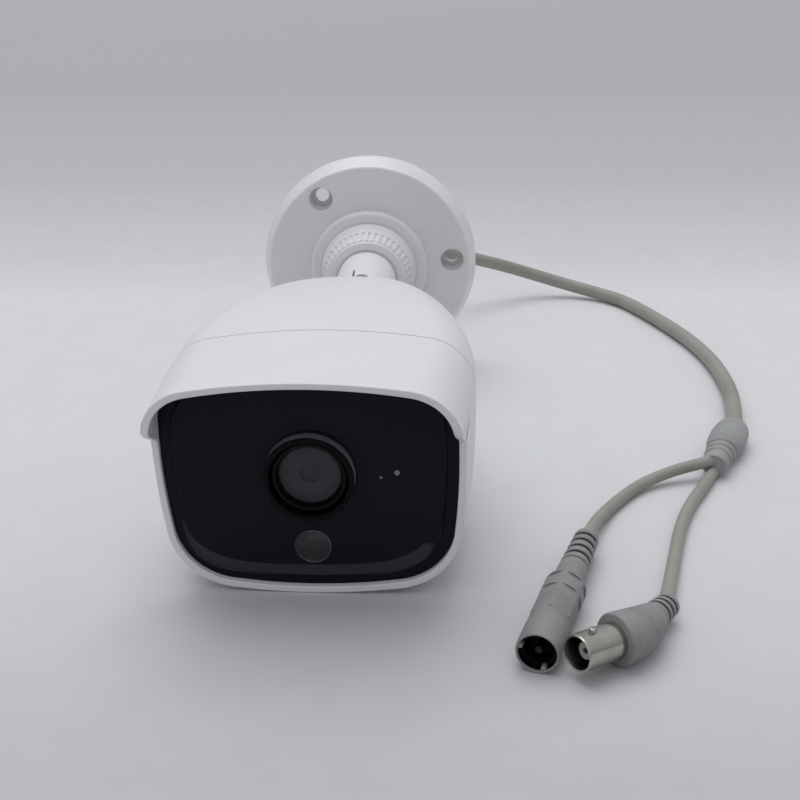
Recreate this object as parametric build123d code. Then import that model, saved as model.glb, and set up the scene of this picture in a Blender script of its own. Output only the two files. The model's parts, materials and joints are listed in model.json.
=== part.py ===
from build123d import *
import math
import os

# Bullet camera on a three-axis wall bracket, lying on a table on its base rim and front bezel, with its lead
# split to a power socket and a video socket. Millimetres. Pieces are drawn in an assembly frame (x right,
# y up, z forward from the wall plane), then stood on the table, where +Z is up and +Y is away from the lens.

# Fits and clearances
RUN_FIT = 0.05
SLIP_GAP = 0.3
FACE_GAP = 0.1
SEAT_GAP = 0.05
OVERCUT = 1.0

# Wall base
BASE_R = 44.2
BASE_T = 9.8
BASE_LIP = 2.0
BASE_SLOPE = 2.8
BASE_EDGE = 1.2
BOSS_R = 24.0
BOSS_H = 4.6
BOSS_EDGE = 1.5
COLLAR_R = 15.0
COLLAR_H = 8.0
COLLAR_BORE_R = 8.0
COLLAR_BORE_DEPTH = 8.5
WALL_HOLE_CIRCLE_R = 34.3
WALL_HOLE_COUNT = 3
WALL_HOLE_FIRST_ANGLE = 4.1
WALL_HOLE_R = 2.75
WALL_CUP_R = 4.75
WALL_CUP_FLOOR = 1.2
WALL_CUP_CHAMFER = 0.6

# Lead inside the bracket
LEAD_R = 3.0
GROMMET_WALL = 2.0
GROMMET_L = 6.0

# Lock ring
RING_SKIRT_R = 19.5
RING_SHOULDER_R = 17.8
RING_NOSE_R = 16.1
RING_SKIRT_L = 7.1
RING_KNURL_L = 5.0
RING_LIP_L = 1.6
RING_LIP_R = 15.5
RING_LIP_BORE_R = 12.2
RING_KNURLS = 42
KNURL_DEPTH = 0.5
KNURL_SHARE = 0.5
KNURL_RUNOUT = 0.25
RING_LIP_ROUND = 0.7

# Swivel neck, with the fork of the tilt hinge
NECK_R = 11.7
NECK_FLANGE_R = 14.2
NECK_FLANGE_T = 2.1
WASHER_T = 1.0
NECK_BORE_R = 4.0
PIVOT_REACH = 51.0
FORK_GAP = 14.0
FORK_ROOM = 0.6
LEAD_END_GAP = 1.0
SLIT_W = 0.9
SLIT_L = 9.0
SLIT_X = -3.2

# Tilt screw and hinge
SCREW_HEAD_R = 2.4
SCREW_HEAD_H = 2.2
SCREW_SHANK_R = 1.5
SCREW_WELL_DEPTH = 2.9
SOCKET_R = 1.25
SOCKET_DEPTH = 1.2
INSERT_R = 2.6
INSERT_DEPTH = 3.0
PIVOT_PIN_R = 2.4
PIVOT_PIN_L = 3.6

# Stem that the head rolls on
STEM_ROOM = 0.5
SPIGOT_R = 9.0
SPIGOT_REACH = 8.0
SEAL_R = 0.75
RETAINER_R = 12.6
RETAINER_T = 3.6
GLAND_R = 6.0
GLAND_L = 4.0

# Pose in the photograph: the head turned a little aside on its tilt hinge and rolled a little on its stem
HEAD_TURN = 2.2
HEAD_ROLL = 1.0

# Head shell: a section with four crowned sides and round corners, wider above than below, closed by a domed
# back that narrows more in plan than in side view
HEAD_HALF_TOP = 43.4
HEAD_HALF_BOTTOM = 40.6
FRONT_HALF_TOP = 40.4
FRONT_HALF_BOTTOM = 37.6
HEAD_TOP = 31.6
FRONT_TOP = 33.0
HEAD_BOTTOM = 36.4
TOP_CORNER_R = 15.0
BOTTOM_CORNER_R = 20.0
TOP_CROWN = 4.8
BOTTOM_CROWN = 4.2
SIDE_CROWN = 2.0
DOME_START = 105.0
DOME_BACK = 21.4
DOME_END_R = 17.0
DOME_PLAN_POWER = 1.55
DOME_SIDE_POWER = 2.05
DOME_END_CORNER = 0.85
DOME_STEPS = 8
BACK_WALL = 4.0
REAR_WALL = 2.6
COVER_WALL = 2.0
SEAM_FROM_PIVOT = 114.0
SEAM_GAP = 0.3
REBATE_INSET = 1.3
REBATE_DEPTH = 9.0
CHASSIS_BEHIND_LIP = 3.0
SEAL_T = 1.2
FACE_FROM_PIVOT = 141.9
BEZEL_PROUD = 0.6
HOOD_REACH = 15.1
HOOD_TIP_REACH = 11.0
HOOD_TIP_UP = 16.5
HOOD_ROOT_UP = 10.5
BROW_OVER = 10.0
HOOD_TIP_ROUND = 5.0
HOOD_ROOT_ROUND = 3.0

# Screw posts that join the two halves of the head
POST_R = 3.4
POST_UPPER_IN = 8.4
POST_UPPER_UP = 14.0
POST_LOWER_IN = 7.1
POST_LOWER_DOWN = 16.0
POST_L = 34.0
RIB_W = 3.0
COVER_SCREW_R = 1.25
COVER_SCREW_HEAD_R = 2.3
COVER_SCREW_HEAD_H = 2.0
COVER_SCREW_SEAT = 4.0
COVER_SCREW_BITE = 8.0

# Window
WINDOW_T = 2.2
WINDOW_STEP = 1.1
WINDOW_BAND = 3.0
WINDOW_ROUND = 0.9
WINDOW_GAP = 0.15
GASKET_T = 0.5
SEAT_FLANGE_T = 2.5
SEAT_FLANGE_W = 5.0

# Lens and what shows round it
SHROUD_R = 12.5
SHROUD_WALL = 1.8
SHROUD_ROUND = 0.54
SHROUD_PROUD = 3.0
GLASS_R = 8.35
GLASS_T = 2.4
GLASS_CROWN = 1.4
BARREL_R = 10.2
BARREL_PROUD = 1.2
BARREL_THREAD_R = 9.4
BARREL_BORE_R = 6.1
BARREL_STOP = 1.0
BARREL_RIM = 0.5
BARREL_THREAD_L = 8.0
REAR_GLASS_T = 3.0
LED_DOWN = 21.7
LED_LENS_R = 4.7
LED_LENS_WALL = 0.9
LED_LENS_CROWN = 1.0
LED_LENS_PROUD = 0.4
LED_SIDE = 5.0
LED_T = 1.2
LED_DOME_R = 1.6
SENSOR_DOT = (23.6, 1.0)
SENSOR_DOT_R = 0.75
SENSOR_BASE_R = 1.6
SENSOR_BASE_L = 3.0
MIC_DOT = (19.2, -0.5)
MIC_PORT_R = 0.45
MIC_R = 2.0
MIC_L = 2.2

# Boards, chassis and spacers, counted back from the window seat
BOARD_T = 1.6
LED_BOARD_SIZE = (58.0, 63.0)
LED_BOARD_UP = -2.0
LED_BOARD_CORNER = 16.0
LED_PEG_L = 2.9
LED_PEG_R = 2.5
LED_PEG_UPPER = (18.0, 27.0)
LED_PEG_LOWER = (12.0, -31.0)
CHASSIS_SIZE = (70.0, 34.0)
CHASSIS_T = 2.0
CHASSIS_WINDOW = 16.0
MAIN_BOARD_SIZE = (52.0, 36.0)
MAIN_SPACER = (22.0, 13.0)
MAIN_SPACER_L = 12.4
SENSOR_BOARD_SIDE = 30.0
SENSOR_SPACER = (12.0, 12.0)
SENSOR_SPACER_L = 7.0
SPACER_R = 2.2
SMALL_SCREW_R = 1.0
SMALL_HEAD_R = 1.9
SMALL_HEAD_H = 1.3
SMALL_SCREW_BITE = 3.0
SCREW_TIP_ROOM = 0.5

# Image sensor and the filter that slides in front of it
CHIP_SIZE = (12.0, 10.0)
CHIP_T = 1.4
CHIP_ROOM = 0.5
FILTER_FRAME_SIZE = (34.0, 20.0)
FILTER_FRAME_T = 6.0
FILTER_SLIDE_SIZE = (20.0, 13.0)
FILTER_SLIDE_T = 1.0
FILTER_PITCH = 9.0
FILTER_GLASS_R = 3.9
LIGHT_HOLE_R = 4.5
SLIDE_BACK = 2.6
COIL_R = 2.2
COIL_WIRE_R = 1.9
COIL_L = 10.0
COIL_CHEEK_T = 0.8
HOLDER_FLANGE_SIDE = 26.0
HOLDER_FLANGE_T = 2.4
HOLDER_TUBE_R = 11.6
HOLDER_TUBE_L = 9.0

# Connectors and leads inside the head
RIBBON_W = 12.0
RIBBON_T = 0.5
RIBBON_UP = 16.4
RIBBON_PLUG_T = 3.0
RIBBON_PLUG_L = 4.0
NOTCH_W = 15.0
NOTCH_UP = 14.0
MAIN_PLUG_SIZE = (12.0, 7.0)
MAIN_PLUG_L = 6.0
HEAD_LEAD_R = 2.4

# Lead outside the base, on the table: routes in the finished frame, along the line that the lead takes
BRANCH_R = 1.95
ARC_SHARE = 0.45
LEAD_OUT = 17.0
MAIN_ROUTE = [
    (7.9, 146.5, 41.2), (21.9, 167.5, 35.0), (41.0, 185.0, 26.9), (61.5, 198.5, 18.6), (79.5, 205.8, 11.3),
    (96.0, 205.6, 6.2), (110.6, 199.2, 3.6), (121.4, 187.4, 3.1), (129.5, 166.5, 3.1), (136.8, 144.0, 3.1),
    (142.9, 120.2, 3.1), (146.2, 95.7, 3.1), (146.4, 70.7, 3.1), (144.2, 47.4, 3.5),
]
POWER_ROUTE = [
    (125.5, -12.4, 6.4), (119.1, -16.2, 5.8), (111.9, -17.6, 4.6), (104.5, -20.7, 3.3), (96.9, -26.1, 2.3),
    (89.8, -35.3, 2.0), (83.3, -46.1, 2.4), (78.3, -57.7, 4.0),
]
VIDEO_ROUTE = [
    (123.9, -14.1, 2.4), (118.5, -25.4, 2.1), (113.1, -35.5, 2.0), (108.2, -46.6, 2.0), (104.1, -58.9, 2.0),
    (100.8, -71.4, 2.0), (97.6, -83.4, 2.1), (95.0, -93.4, 2.7), (93.2, -99.9, 3.7),
]

# Splitter of the lead: oval sections (share of its length, half width, half height)
SPLIT_FROM = (137.9, 19.0)
SPLIT_TO = (123.3, -15.7)
SPLIT_HEIGHT = 4.75
SPLIT_OVALS = [
    (0.0, 4.2, 4.0), (0.1, 5.7, 4.5), (0.35, 6.5, 4.7), (0.56, 6.2, 4.7), (0.75, 5.2, 4.5), (1.0, 4.5, 4.2),
]
SPLIT_GROOVES = [(0.66, 5.7, 4.6), (0.76, 5.2, 4.5), (0.86, 4.9, 4.4)]
SPLIT_GROOVE_W = 1.2
SPLIT_GROOVE_DEPTH = 0.7

# Power socket, from its cable end forward
POWER_ENTRY = (75.0, -69.4, 5.6)
POWER_HEADING = -107.2
POWER_RELIEF_L = 20.0
POWER_RELIEF_R = 3.4
POWER_NECK_L = 9.5
POWER_NECK_R = 4.2
POWER_BODY_L = 35.6
POWER_BODY_R = 5.2
POWER_MOUTH_R = 5.6
POWER_MOUTH_L = 12.0
POWER_SLOPE = 2.0
POWER_STEP_L = 1.0
POWER_CUP_R = 4.9
POWER_CUP_DEPTH = 8.0
POWER_KEY_R = 0.65
POWER_KEY_L = 2.0
POWER_KEY_BACK = 0.5
POWER_KEY_ANGLES = (180.0, 290.0)
POWER_FLAT_R = 4.75
POWER_FLAT_L = 12.0
POWER_FLAT_BACK = 2.0
LINER_WALL = 1.1
POWER_PIN_R = 1.0
RELIEF_RIBS = 5
RELIEF_GROOVE = 0.7
RELIEF_RIB_SHARE = 0.62

# Video socket: a boot with a bent relief behind and a bayonet barrel in front
VIDEO_ENTRY = (92.3, -104.4, 4.4)
VIDEO_BOOT_AT = (88.2, -118.2, 6.3)
VIDEO_HEADING = -144.1
VIDEO_RISE = 3.2
VIDEO_RELIEF_R = 3.1
BOOT_L = 16.0
BOOT_BACK_R = 4.9
BOOT_R = 6.9
BOOT_BAND_L = 4.0
BOOT_EDGE = 0.6
BOOT_BURY = 2.0
BOOT_POCKET = 6.0
SHELL_R = 4.8
SHELL_WALL = 0.7
SHELL_PROUD = 12.5
STUD_R = 0.95
STUD_H = 1.0
STUD_BACK = 4.6
DIELECTRIC_R = 2.3
DIELECTRIC_BACK = 2.5
DIELECTRIC_DEPTH = 10.0
DIELECTRIC_FLOOR = 1.0
CONTACT_R = 0.75
CONTACT_HOLE_R = 0.45

# Stations along the assembly, worked out from the sizes above
BOSS_Z = BASE_T + BOSS_H
COLLAR_Z = BOSS_Z + COLLAR_H
FLANGE_BACK_Z = COLLAR_Z + WASHER_T + FACE_GAP
FLANGE_Z = FLANGE_BACK_Z + NECK_FLANGE_T
PIVOT_Z = BASE_T + PIVOT_REACH
FORK_ROOT_Z = PIVOT_Z - NECK_R - FORK_ROOM
ARM_IN = FORK_GAP / 2
TONGUE_HALF = ARM_IN - SLIP_GAP
STEM_Z = PIVOT_Z + NECK_R + STEM_ROOM
BACK_Z = PIVOT_Z + DOME_BACK
DOME_Z = PIVOT_Z + DOME_START
SEAM_Z = PIVOT_Z + SEAM_FROM_PIVOT
FACE_Z = PIVOT_Z + FACE_FROM_PIVOT
BEZEL_Z = FACE_Z + BEZEL_PROUD
HOOD_Z = FACE_Z + HOOD_REACH
WINDOW_BACK_Z = FACE_Z - WINDOW_T
SEAT_Z = WINDOW_BACK_Z - GASKET_T
SEAT_BACK_Z = SEAT_Z - SEAT_FLANGE_T
LED_FRONT_Z = SEAT_BACK_Z - LED_PEG_L
LED_BACK_Z = LED_FRONT_Z - BOARD_T
REBATE_Z = SEAM_Z - REBATE_DEPTH
LIP_Z = REBATE_Z + SEAL_T
CHASSIS_Z = LIP_Z - CHASSIS_BEHIND_LIP
CHASSIS_BACK_Z = CHASSIS_Z - CHASSIS_T
MAIN_FRONT_Z = CHASSIS_BACK_Z - MAIN_SPACER_L
MAIN_BACK_Z = MAIN_FRONT_Z - BOARD_T
SENSOR_BACK_Z = CHASSIS_Z + SENSOR_SPACER_L
SENSOR_FRONT_Z = SENSOR_BACK_Z + BOARD_T
FILTER_FRONT_Z = SENSOR_FRONT_Z + FILTER_FRAME_T
HOLDER_Z = FILTER_FRONT_Z + HOLDER_FLANGE_T
HOLDER_END_Z = HOLDER_Z + HOLDER_TUBE_L
BARREL_FRONT_Z = FACE_Z + BARREL_PROUD
BARREL_STEP_Z = HOLDER_END_Z + SLIP_GAP
BARREL_BACK_Z = BARREL_STEP_Z - BARREL_THREAD_L
SPIGOT_END_Z = BACK_Z + BACK_WALL + SPIGOT_REACH
GLAND_END_Z = SPIGOT_END_Z + GLAND_L
LOWER = (Align.CENTER, Align.CENTER, Align.MIN)
POST_UPPER = (HEAD_HALF_TOP - POST_UPPER_IN, POST_UPPER_UP)
POST_LOWER = (HEAD_HALF_BOTTOM - POST_LOWER_IN, -POST_LOWER_DOWN)
POSTS = [(side * x, y) for x, y in (POST_UPPER, POST_LOWER) for side in (1, -1)]
LED_PEGS = [(side * x, y) for x, y in (LED_PEG_UPPER, LED_PEG_LOWER) for side in (1, -1)]


def corners(spot):
    """The four mirror places of a spot about the lens axis."""
    x, y = spot
    return [(x, y), (-x, y), (-x, -y), (x, -y)]


def disc(radius, z0, z1, spot=(0.0, 0.0)):
    """Round bar along z between two stations."""
    return Pos(spot[0], spot[1], z0) * Cylinder(radius, z1 - z0, align=LOWER)


def block(size, z0, z1, spot=(0.0, 0.0)):
    """Rectangular bar along z between two stations."""
    return Pos(spot[0], spot[1], z0) * Box(size[0], size[1], z1 - z0, align=LOWER)


def upright(radius, y0, y1, z, x=0.0):
    """Round bar along y between two heights, on the tilt axis or beside it."""
    return Pos(x, y0, z) * Rot(X=-90) * Cylinder(radius, y1 - y0, align=LOWER)


def turned(points):
    """Solid turned about z from (radius, station) points."""
    return revolve(make_face(Polyline(*[(r, 0, z) for r, z in points], close=True)), Axis.Z)


def cap_arc(radius, z, crown):
    """Profile arc of a bulging glass, from its rim to its top on the axis."""
    ball = (radius ** 2 + crown ** 2) / (2 * crown)
    half = math.asin(radius / ball) / 2
    middle_spot = (ball * math.sin(half), 0, z + crown - ball * (1 - math.cos(half)))
    return ThreePointArc((radius, 0, z), middle_spot, (0, 0, z + crown))


def narrowed(share, end, power):
    """Part of a half width that is left at a share of the dome, from all of it down to the end part."""
    return (1.0 - (1.0 - end ** power) * share ** power) ** (1.0 / power)


def head_section(z, inset=0.0):
    """Face across the head, drawn in by an inset: narrowed along the dome, drafted along the cover."""
    share = max(0.0, (DOME_Z - z) / (DOME_Z - BACK_Z))
    plan = narrowed(share, DOME_END_R / HEAD_HALF_TOP, DOME_PLAN_POWER)
    rise = narrowed(share, DOME_END_R / HEAD_TOP, DOME_SIDE_POWER)
    draft = max(0.0, (z - SEAM_Z) / (HOOD_Z - SEAM_Z))
    half_top = (HEAD_HALF_TOP + draft * (FRONT_HALF_TOP - HEAD_HALF_TOP)) * plan - inset
    half_bottom = (HEAD_HALF_BOTTOM + draft * (FRONT_HALF_BOTTOM - HEAD_HALF_BOTTOM)) * plan - inset
    top = (HEAD_TOP + draft * (FRONT_TOP - HEAD_TOP)) * rise - inset
    bottom = inset - HEAD_BOTTOM * rise
    eave = top - TOP_CROWN * plan
    floor = bottom + BOTTOM_CROWN * plan
    waist = (half_top + half_bottom) / 2 + SIDE_CROWN * rise
    waist_y = (eave + floor) / 2
    edges = [
        ThreePointArc((-half_bottom, floor), (0, bottom), (half_bottom, floor)),
        ThreePointArc((half_bottom, floor), (waist, waist_y), (half_top, eave)),
        ThreePointArc((half_top, eave), (0, top), (-half_top, eave)),
        ThreePointArc((-half_top, eave), (-waist, waist_y), (-half_bottom, floor)),
    ]
    least = min(HEAD_HALF_TOP * plan, HEAD_TOP * rise)
    top_share = TOP_CORNER_R / HEAD_TOP
    bottom_share = BOTTOM_CORNER_R / HEAD_TOP
    top_r = (top_share + (DOME_END_CORNER - top_share) * share ** 2) * least - inset
    bottom_r = (bottom_share + (DOME_END_CORNER - bottom_share) * share ** 2) * least - inset
    face = make_face(edges)
    face = fillet(face.vertices().sort_by(Axis.Y)[-2:], top_r)
    face = fillet(face.vertices().sort_by(Axis.Y)[:2], bottom_r)
    return Pos(0, 0, z) * face


def head_bar(z0, z1, inset=0.0):
    """Straight or drafted stretch of the head's section between two stations."""
    if z1 <= SEAM_Z:
        return extrude(head_section(DOME_Z, inset).moved(Pos(0, 0, z0 - DOME_Z)), z1 - z0, dir=(0, 0, 1))
    return loft([head_section(z0, inset), head_section(z1, inset)], ruled=True)


def head_dome(z_back, inset=0.0):
    """Domed back of the head, from its flat end to the straight stretch, with closer sections at the back."""
    angles = [math.pi / 2 * (1 - k / DOME_STEPS) for k in range(DOME_STEPS + 1)]
    return loft([head_section(DOME_Z - (DOME_Z - z_back) * math.sin(a), inset) for a in angles])


def wall_base():
    """Round base with its boss, threaded collar, centre bore and three cupped screw holes."""
    plate = turned([(0, 0), (BASE_R, 0), (BASE_R, BASE_LIP), (BASE_R - BASE_SLOPE, BASE_T), (0, BASE_T)])
    plate = fillet(plate.edges().group_by(Axis.Z)[-1], BASE_EDGE)
    boss = disc(BOSS_R, 0, BOSS_Z)
    boss = fillet(boss.edges().group_by(Axis.Z)[-1], BOSS_EDGE)
    body = plate + boss + disc(COLLAR_R, 0, COLLAR_Z)
    body -= disc(LEAD_R + GROMMET_WALL, 0, COLLAR_Z)
    body -= disc(COLLAR_BORE_R, COLLAR_Z - COLLAR_BORE_DEPTH, COLLAR_Z)
    flare = WALL_CUP_R + WALL_CUP_CHAMFER
    cup = turned([
        (0, WALL_CUP_FLOOR), (WALL_CUP_R, WALL_CUP_FLOOR), (WALL_CUP_R, BASE_T - WALL_CUP_CHAMFER),
        (flare, BASE_T), (flare, BASE_T + OVERCUT), (0, BASE_T + OVERCUT),
    ])
    cup += disc(WALL_HOLE_R, 0, BASE_T)
    for k in range(WALL_HOLE_COUNT):
        angle = WALL_HOLE_FIRST_ANGLE + 360.0 * k / WALL_HOLE_COUNT
        body -= Rot(Z=angle) * Pos(WALL_HOLE_CIRCLE_R, 0, 0) * cup
    return body


def base_grommet():
    """Rubber sleeve round the lead at the back of the base."""
    return disc(LEAD_R + GROMMET_WALL, 0, GROMMET_L) - disc(LEAD_R, 0, GROMMET_L)


def bracket_lead():
    """Lead from the back of the base up to the fork."""
    return disc(LEAD_R, 0, FORK_ROOT_Z - LEAD_END_GAP)


def friction_washer():
    """Flat washer between the base collar and the neck flange."""
    front = COLLAR_Z + WASHER_T
    return disc(NECK_FLANGE_R, COLLAR_Z, front) - disc(COLLAR_BORE_R + SLIP_GAP, COLLAR_Z, front)


def lock_ring():
    """Knurled ring that screws over the collar and clamps the neck flange."""
    z0 = BOSS_Z + SLIP_GAP
    z1 = z0 + RING_SKIRT_L
    z2 = z1 + RING_KNURL_L
    z3 = z2 + RING_LIP_L
    thread_r = COLLAR_R + SLIP_GAP
    pocket_r = NECK_FLANGE_R + SLIP_GAP
    pocket_z = FLANGE_Z + SLIP_GAP
    ring = turned([
        (thread_r, z0), (RING_SKIRT_R, z0), (RING_SHOULDER_R, z1), (RING_NOSE_R, z2), (RING_LIP_R, z2),
        (RING_LIP_R, z3), (RING_LIP_BORE_R, z3), (RING_LIP_BORE_R, pocket_z), (pocket_r, pocket_z),
        (pocket_r, COLLAR_Z + SLIP_GAP), (thread_r, COLLAR_Z + SLIP_GAP),
    ])
    ring = fillet(ring.edges().filter_by(GeomType.CIRCLE).group_by(Axis.Z)[-1], RING_LIP_ROUND)
    cone = math.degrees(math.atan2(RING_SHOULDER_R - RING_NOSE_R, RING_KNURL_L))
    mid_r = (RING_SHOULDER_R + RING_NOSE_R) / 2
    width = KNURL_SHARE * 2 * math.pi * mid_r / RING_KNURLS
    groove = Pos(mid_r, 0, (z1 + z2) / 2) * Rot(Y=-cone) * Box(
        2 * KNURL_DEPTH, width, RING_KNURL_L + 2 * KNURL_RUNOUT
    )
    return ring - [Rot(Z=360.0 * k / RING_KNURLS) * groove for k in range(RING_KNURLS)]


def swivel_neck():
    """Neck that turns in the base, ending in a fork with the well of the tilt screw on top."""
    spigot_r = COLLAR_BORE_R - RUN_FIT
    neck = disc(spigot_r, COLLAR_Z - COLLAR_BORE_DEPTH + SLIP_GAP, FLANGE_Z)
    neck += disc(NECK_FLANGE_R, FLANGE_BACK_Z, FLANGE_Z)
    rounded = upright(NECK_R, -NECK_R, NECK_R, PIVOT_Z)
    rounded += block((2 * NECK_R, 2 * NECK_R), FLANGE_BACK_Z, PIVOT_Z)
    neck += disc(NECK_R, FLANGE_BACK_Z, PIVOT_Z + NECK_R) & rounded
    neck -= block((2 * NECK_R + OVERCUT, FORK_GAP), FORK_ROOT_Z, PIVOT_Z + NECK_R + OVERCUT)
    neck -= disc(NECK_BORE_R, 0, FORK_ROOT_Z + OVERCUT)
    neck -= upright(SCREW_HEAD_R + SLIP_GAP / 2, NECK_R - SCREW_WELL_DEPTH, NECK_R + OVERCUT, PIVOT_Z)
    neck -= upright(SCREW_SHANK_R + RUN_FIT, 0, NECK_R + OVERCUT, PIVOT_Z)
    neck -= upright(PIVOT_PIN_R + RUN_FIT, -NECK_R - OVERCUT, 0, PIVOT_Z)
    slit = Pos(SLIT_X, NECK_R, PIVOT_Z - SLIT_L / 2) * Box(SLIT_W, NECK_R, SLIT_L)
    return neck - slit


def tilt_screw():
    """Socket-head screw on the tilt axis, in its well on top of the fork."""
    seat = NECK_R - SCREW_WELL_DEPTH + FACE_GAP
    tip = TONGUE_HALF - INSERT_DEPTH + FACE_GAP
    screw = upright(SCREW_HEAD_R, seat, seat + SCREW_HEAD_H, PIVOT_Z)
    screw += upright(SCREW_SHANK_R, tip, seat, PIVOT_Z)
    key = Pos(0, seat + SCREW_HEAD_H - SOCKET_DEPTH, PIVOT_Z) * Rot(X=-90) * extrude(
        RegularPolygon(SOCKET_R, 6), SOCKET_DEPTH
    )
    return screw - key


def tilt_insert():
    """Threaded brass insert in the top of the tongue."""
    low = TONGUE_HALF - INSERT_DEPTH
    body = upright(INSERT_R, low, TONGUE_HALF, PIVOT_Z)
    return body - upright(SCREW_SHANK_R + RUN_FIT, low, TONGUE_HALF, PIVOT_Z)


def tilt_knuckle():
    """Tongue of the tilt hinge with its lower pivot pin, the stem, and the spigot that the head rolls on."""
    height = 2 * TONGUE_HALF
    plan = upright(NECK_R, -TONGUE_HALF, TONGUE_HALF, PIVOT_Z)
    plan += block((2 * NECK_R, height), PIVOT_Z, STEM_Z)
    knuckle = plan & disc(NECK_R, PIVOT_Z - NECK_R, STEM_Z)
    knuckle += disc(NECK_R, STEM_Z, BACK_Z - SLIP_GAP)
    knuckle += disc(SPIGOT_R, STEM_Z, SPIGOT_END_Z)
    knuckle += upright(PIVOT_PIN_R, -TONGUE_HALF - PIVOT_PIN_L, 0, PIVOT_Z)
    knuckle -= disc(LEAD_R + SLIP_GAP, PIVOT_Z - NECK_R - OVERCUT, SPIGOT_END_Z)
    knuckle -= upright(INSERT_R, TONGUE_HALF - INSERT_DEPTH, TONGUE_HALF + OVERCUT, PIVOT_Z)
    seal_z = BACK_Z + BACK_WALL / 2
    groove = disc(SPIGOT_R + OVERCUT, seal_z - SEAL_R, seal_z + SEAL_R)
    return knuckle - (groove - disc(SPIGOT_R - 2 * SEAL_R, 0, HOOD_Z))


def stem_seal():
    """Rubber ring in the groove of the spigot."""
    return Pos(0, 0, BACK_Z + BACK_WALL / 2) * Torus(SPIGOT_R - SEAL_R, SEAL_R)


def stem_retainer():
    """Ring nut that holds the head on the spigot."""
    z0 = BACK_Z + BACK_WALL + SLIP_GAP
    nut = extrude(Pos(0, 0, z0) * RegularPolygon(RETAINER_R, 6), RETAINER_T)
    return nut - disc(SPIGOT_R, z0, z0 + RETAINER_T)


def stem_lead():
    """Lead through the stem, from the tongue to the gland."""
    return disc(LEAD_R, PIVOT_Z + SCREW_SHANK_R + LEAD_END_GAP, GLAND_END_Z)


def cable_gland():
    """Rubber plug that seals the lead at the end of the spigot."""
    return disc(GLAND_R, SPIGOT_END_Z, GLAND_END_Z) - disc(LEAD_R, SPIGOT_END_Z, GLAND_END_Z)


def rear_housing():
    """Rear shell: straight sides, domed back with the spigot bore, a rebate at the seam and screw posts."""
    front = SEAM_Z - SEAM_GAP
    outer = head_dome(BACK_Z) + head_bar(DOME_Z, front)
    inner = head_dome(BACK_Z + BACK_WALL, REAR_WALL) + head_bar(DOME_Z, front, REAR_WALL)
    shell = outer - inner - head_bar(REBATE_Z, front, REBATE_INSET)
    for x, y in POSTS:
        side = math.copysign(1.0, x)
        post = disc(POST_R, CHASSIS_BACK_Z - POST_L, CHASSIS_BACK_Z, (x, y))
        rib = block((HEAD_HALF_TOP - abs(x), RIB_W), CHASSIS_BACK_Z - POST_L, CHASSIS_BACK_Z,
                    (side * (abs(x) + HEAD_HALF_TOP) / 2, y))
        shell += (post + rib) & outer
        shell -= disc(COVER_SCREW_R, CHASSIS_BACK_Z - COVER_SCREW_BITE - OVERCUT, CHASSIS_BACK_Z, (x, y))
    return shell - disc(SPIGOT_R + RUN_FIT, BACK_Z - OVERCUT, BACK_Z + BACK_WALL + OVERCUT)


def housing_seal():
    """Flat rubber seal in the rebate between the two shells."""
    outer = head_bar(REBATE_Z, LIP_Z, REBATE_INSET + SEAT_GAP)
    return outer - head_bar(REBATE_Z, LIP_Z, REAR_WALL - SEAT_GAP)


def front_cover():
    """Front shell with the hood, the bezel round the window, the window seat and its screw posts."""
    outer = loft([head_section(SEAM_Z), head_section(HOOD_Z)], ruled=True)
    inner = loft([head_section(SEAM_Z, COVER_WALL), head_section(HOOD_Z, COVER_WALL)], ruled=True)
    reach = HEAD_HALF_TOP + BROW_OVER
    brow = [
        (-reach, BEZEL_Z), (HOOD_ROOT_UP, BEZEL_Z), (HOOD_TIP_UP, FACE_Z + HOOD_TIP_REACH),
        (FRONT_TOP, HOOD_Z), (reach, HOOD_Z + BROW_OVER), (reach, HOOD_Z + reach), (-reach, HOOD_Z + reach),
    ]
    cut = make_face(Plane.YZ * Polyline(*brow, close=True))
    by_height = cut.vertices().sort_by(Axis.Y)
    cut = fillet(by_height[3], HOOD_TIP_ROUND)
    cut = fillet(cut.vertices().sort_by(Axis.Y)[2], HOOD_ROOT_ROUND)
    shell = outer - inner - extrude(cut, reach, both=True)
    lip = head_bar(LIP_Z, SEAM_Z, REBATE_INSET + FACE_GAP) - head_bar(LIP_Z, SEAM_Z, REAR_WALL)
    step = head_bar(SEAM_Z, SEAM_Z + COVER_WALL, COVER_WALL / 2)
    step -= head_bar(SEAM_Z, SEAM_Z + COVER_WALL, REAR_WALL)
    seat = head_bar(SEAT_BACK_Z, SEAT_Z, COVER_WALL / 2)
    seat -= head_bar(SEAT_BACK_Z, SEAT_Z, COVER_WALL + SEAT_FLANGE_W)
    shell += lip + step + seat
    inside = head_bar(SEAM_Z + COVER_WALL, SEAT_Z, COVER_WALL / 2)
    for x, y in POSTS:
        side = math.copysign(1.0, x)
        rib = block((HEAD_HALF_TOP - abs(x), RIB_W), SEAM_Z + COVER_WALL, SEAT_Z,
                    (side * (abs(x) + HEAD_HALF_TOP) / 2, y))
        shell += disc(POST_R, CHASSIS_Z, SEAT_Z, (x, y)) + (rib & inside)
        shell -= disc(COVER_SCREW_R + FACE_GAP, CHASSIS_Z - OVERCUT, SEAT_Z, (x, y))
        shell -= disc(COVER_SCREW_HEAD_R + FACE_GAP, CHASSIS_Z + COVER_SCREW_SEAT, SEAT_Z + OVERCUT, (x, y))
    for spot in LED_PEGS:
        shell += disc(LED_PEG_R, LED_FRONT_Z, SEAT_BACK_Z + SEAT_FLANGE_T / 2, spot)
        tip = LED_FRONT_Z + SMALL_SCREW_BITE + SCREW_TIP_ROOM
        shell -= disc(SMALL_SCREW_R, LED_FRONT_Z - OVERCUT, tip, spot)
    return shell


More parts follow.
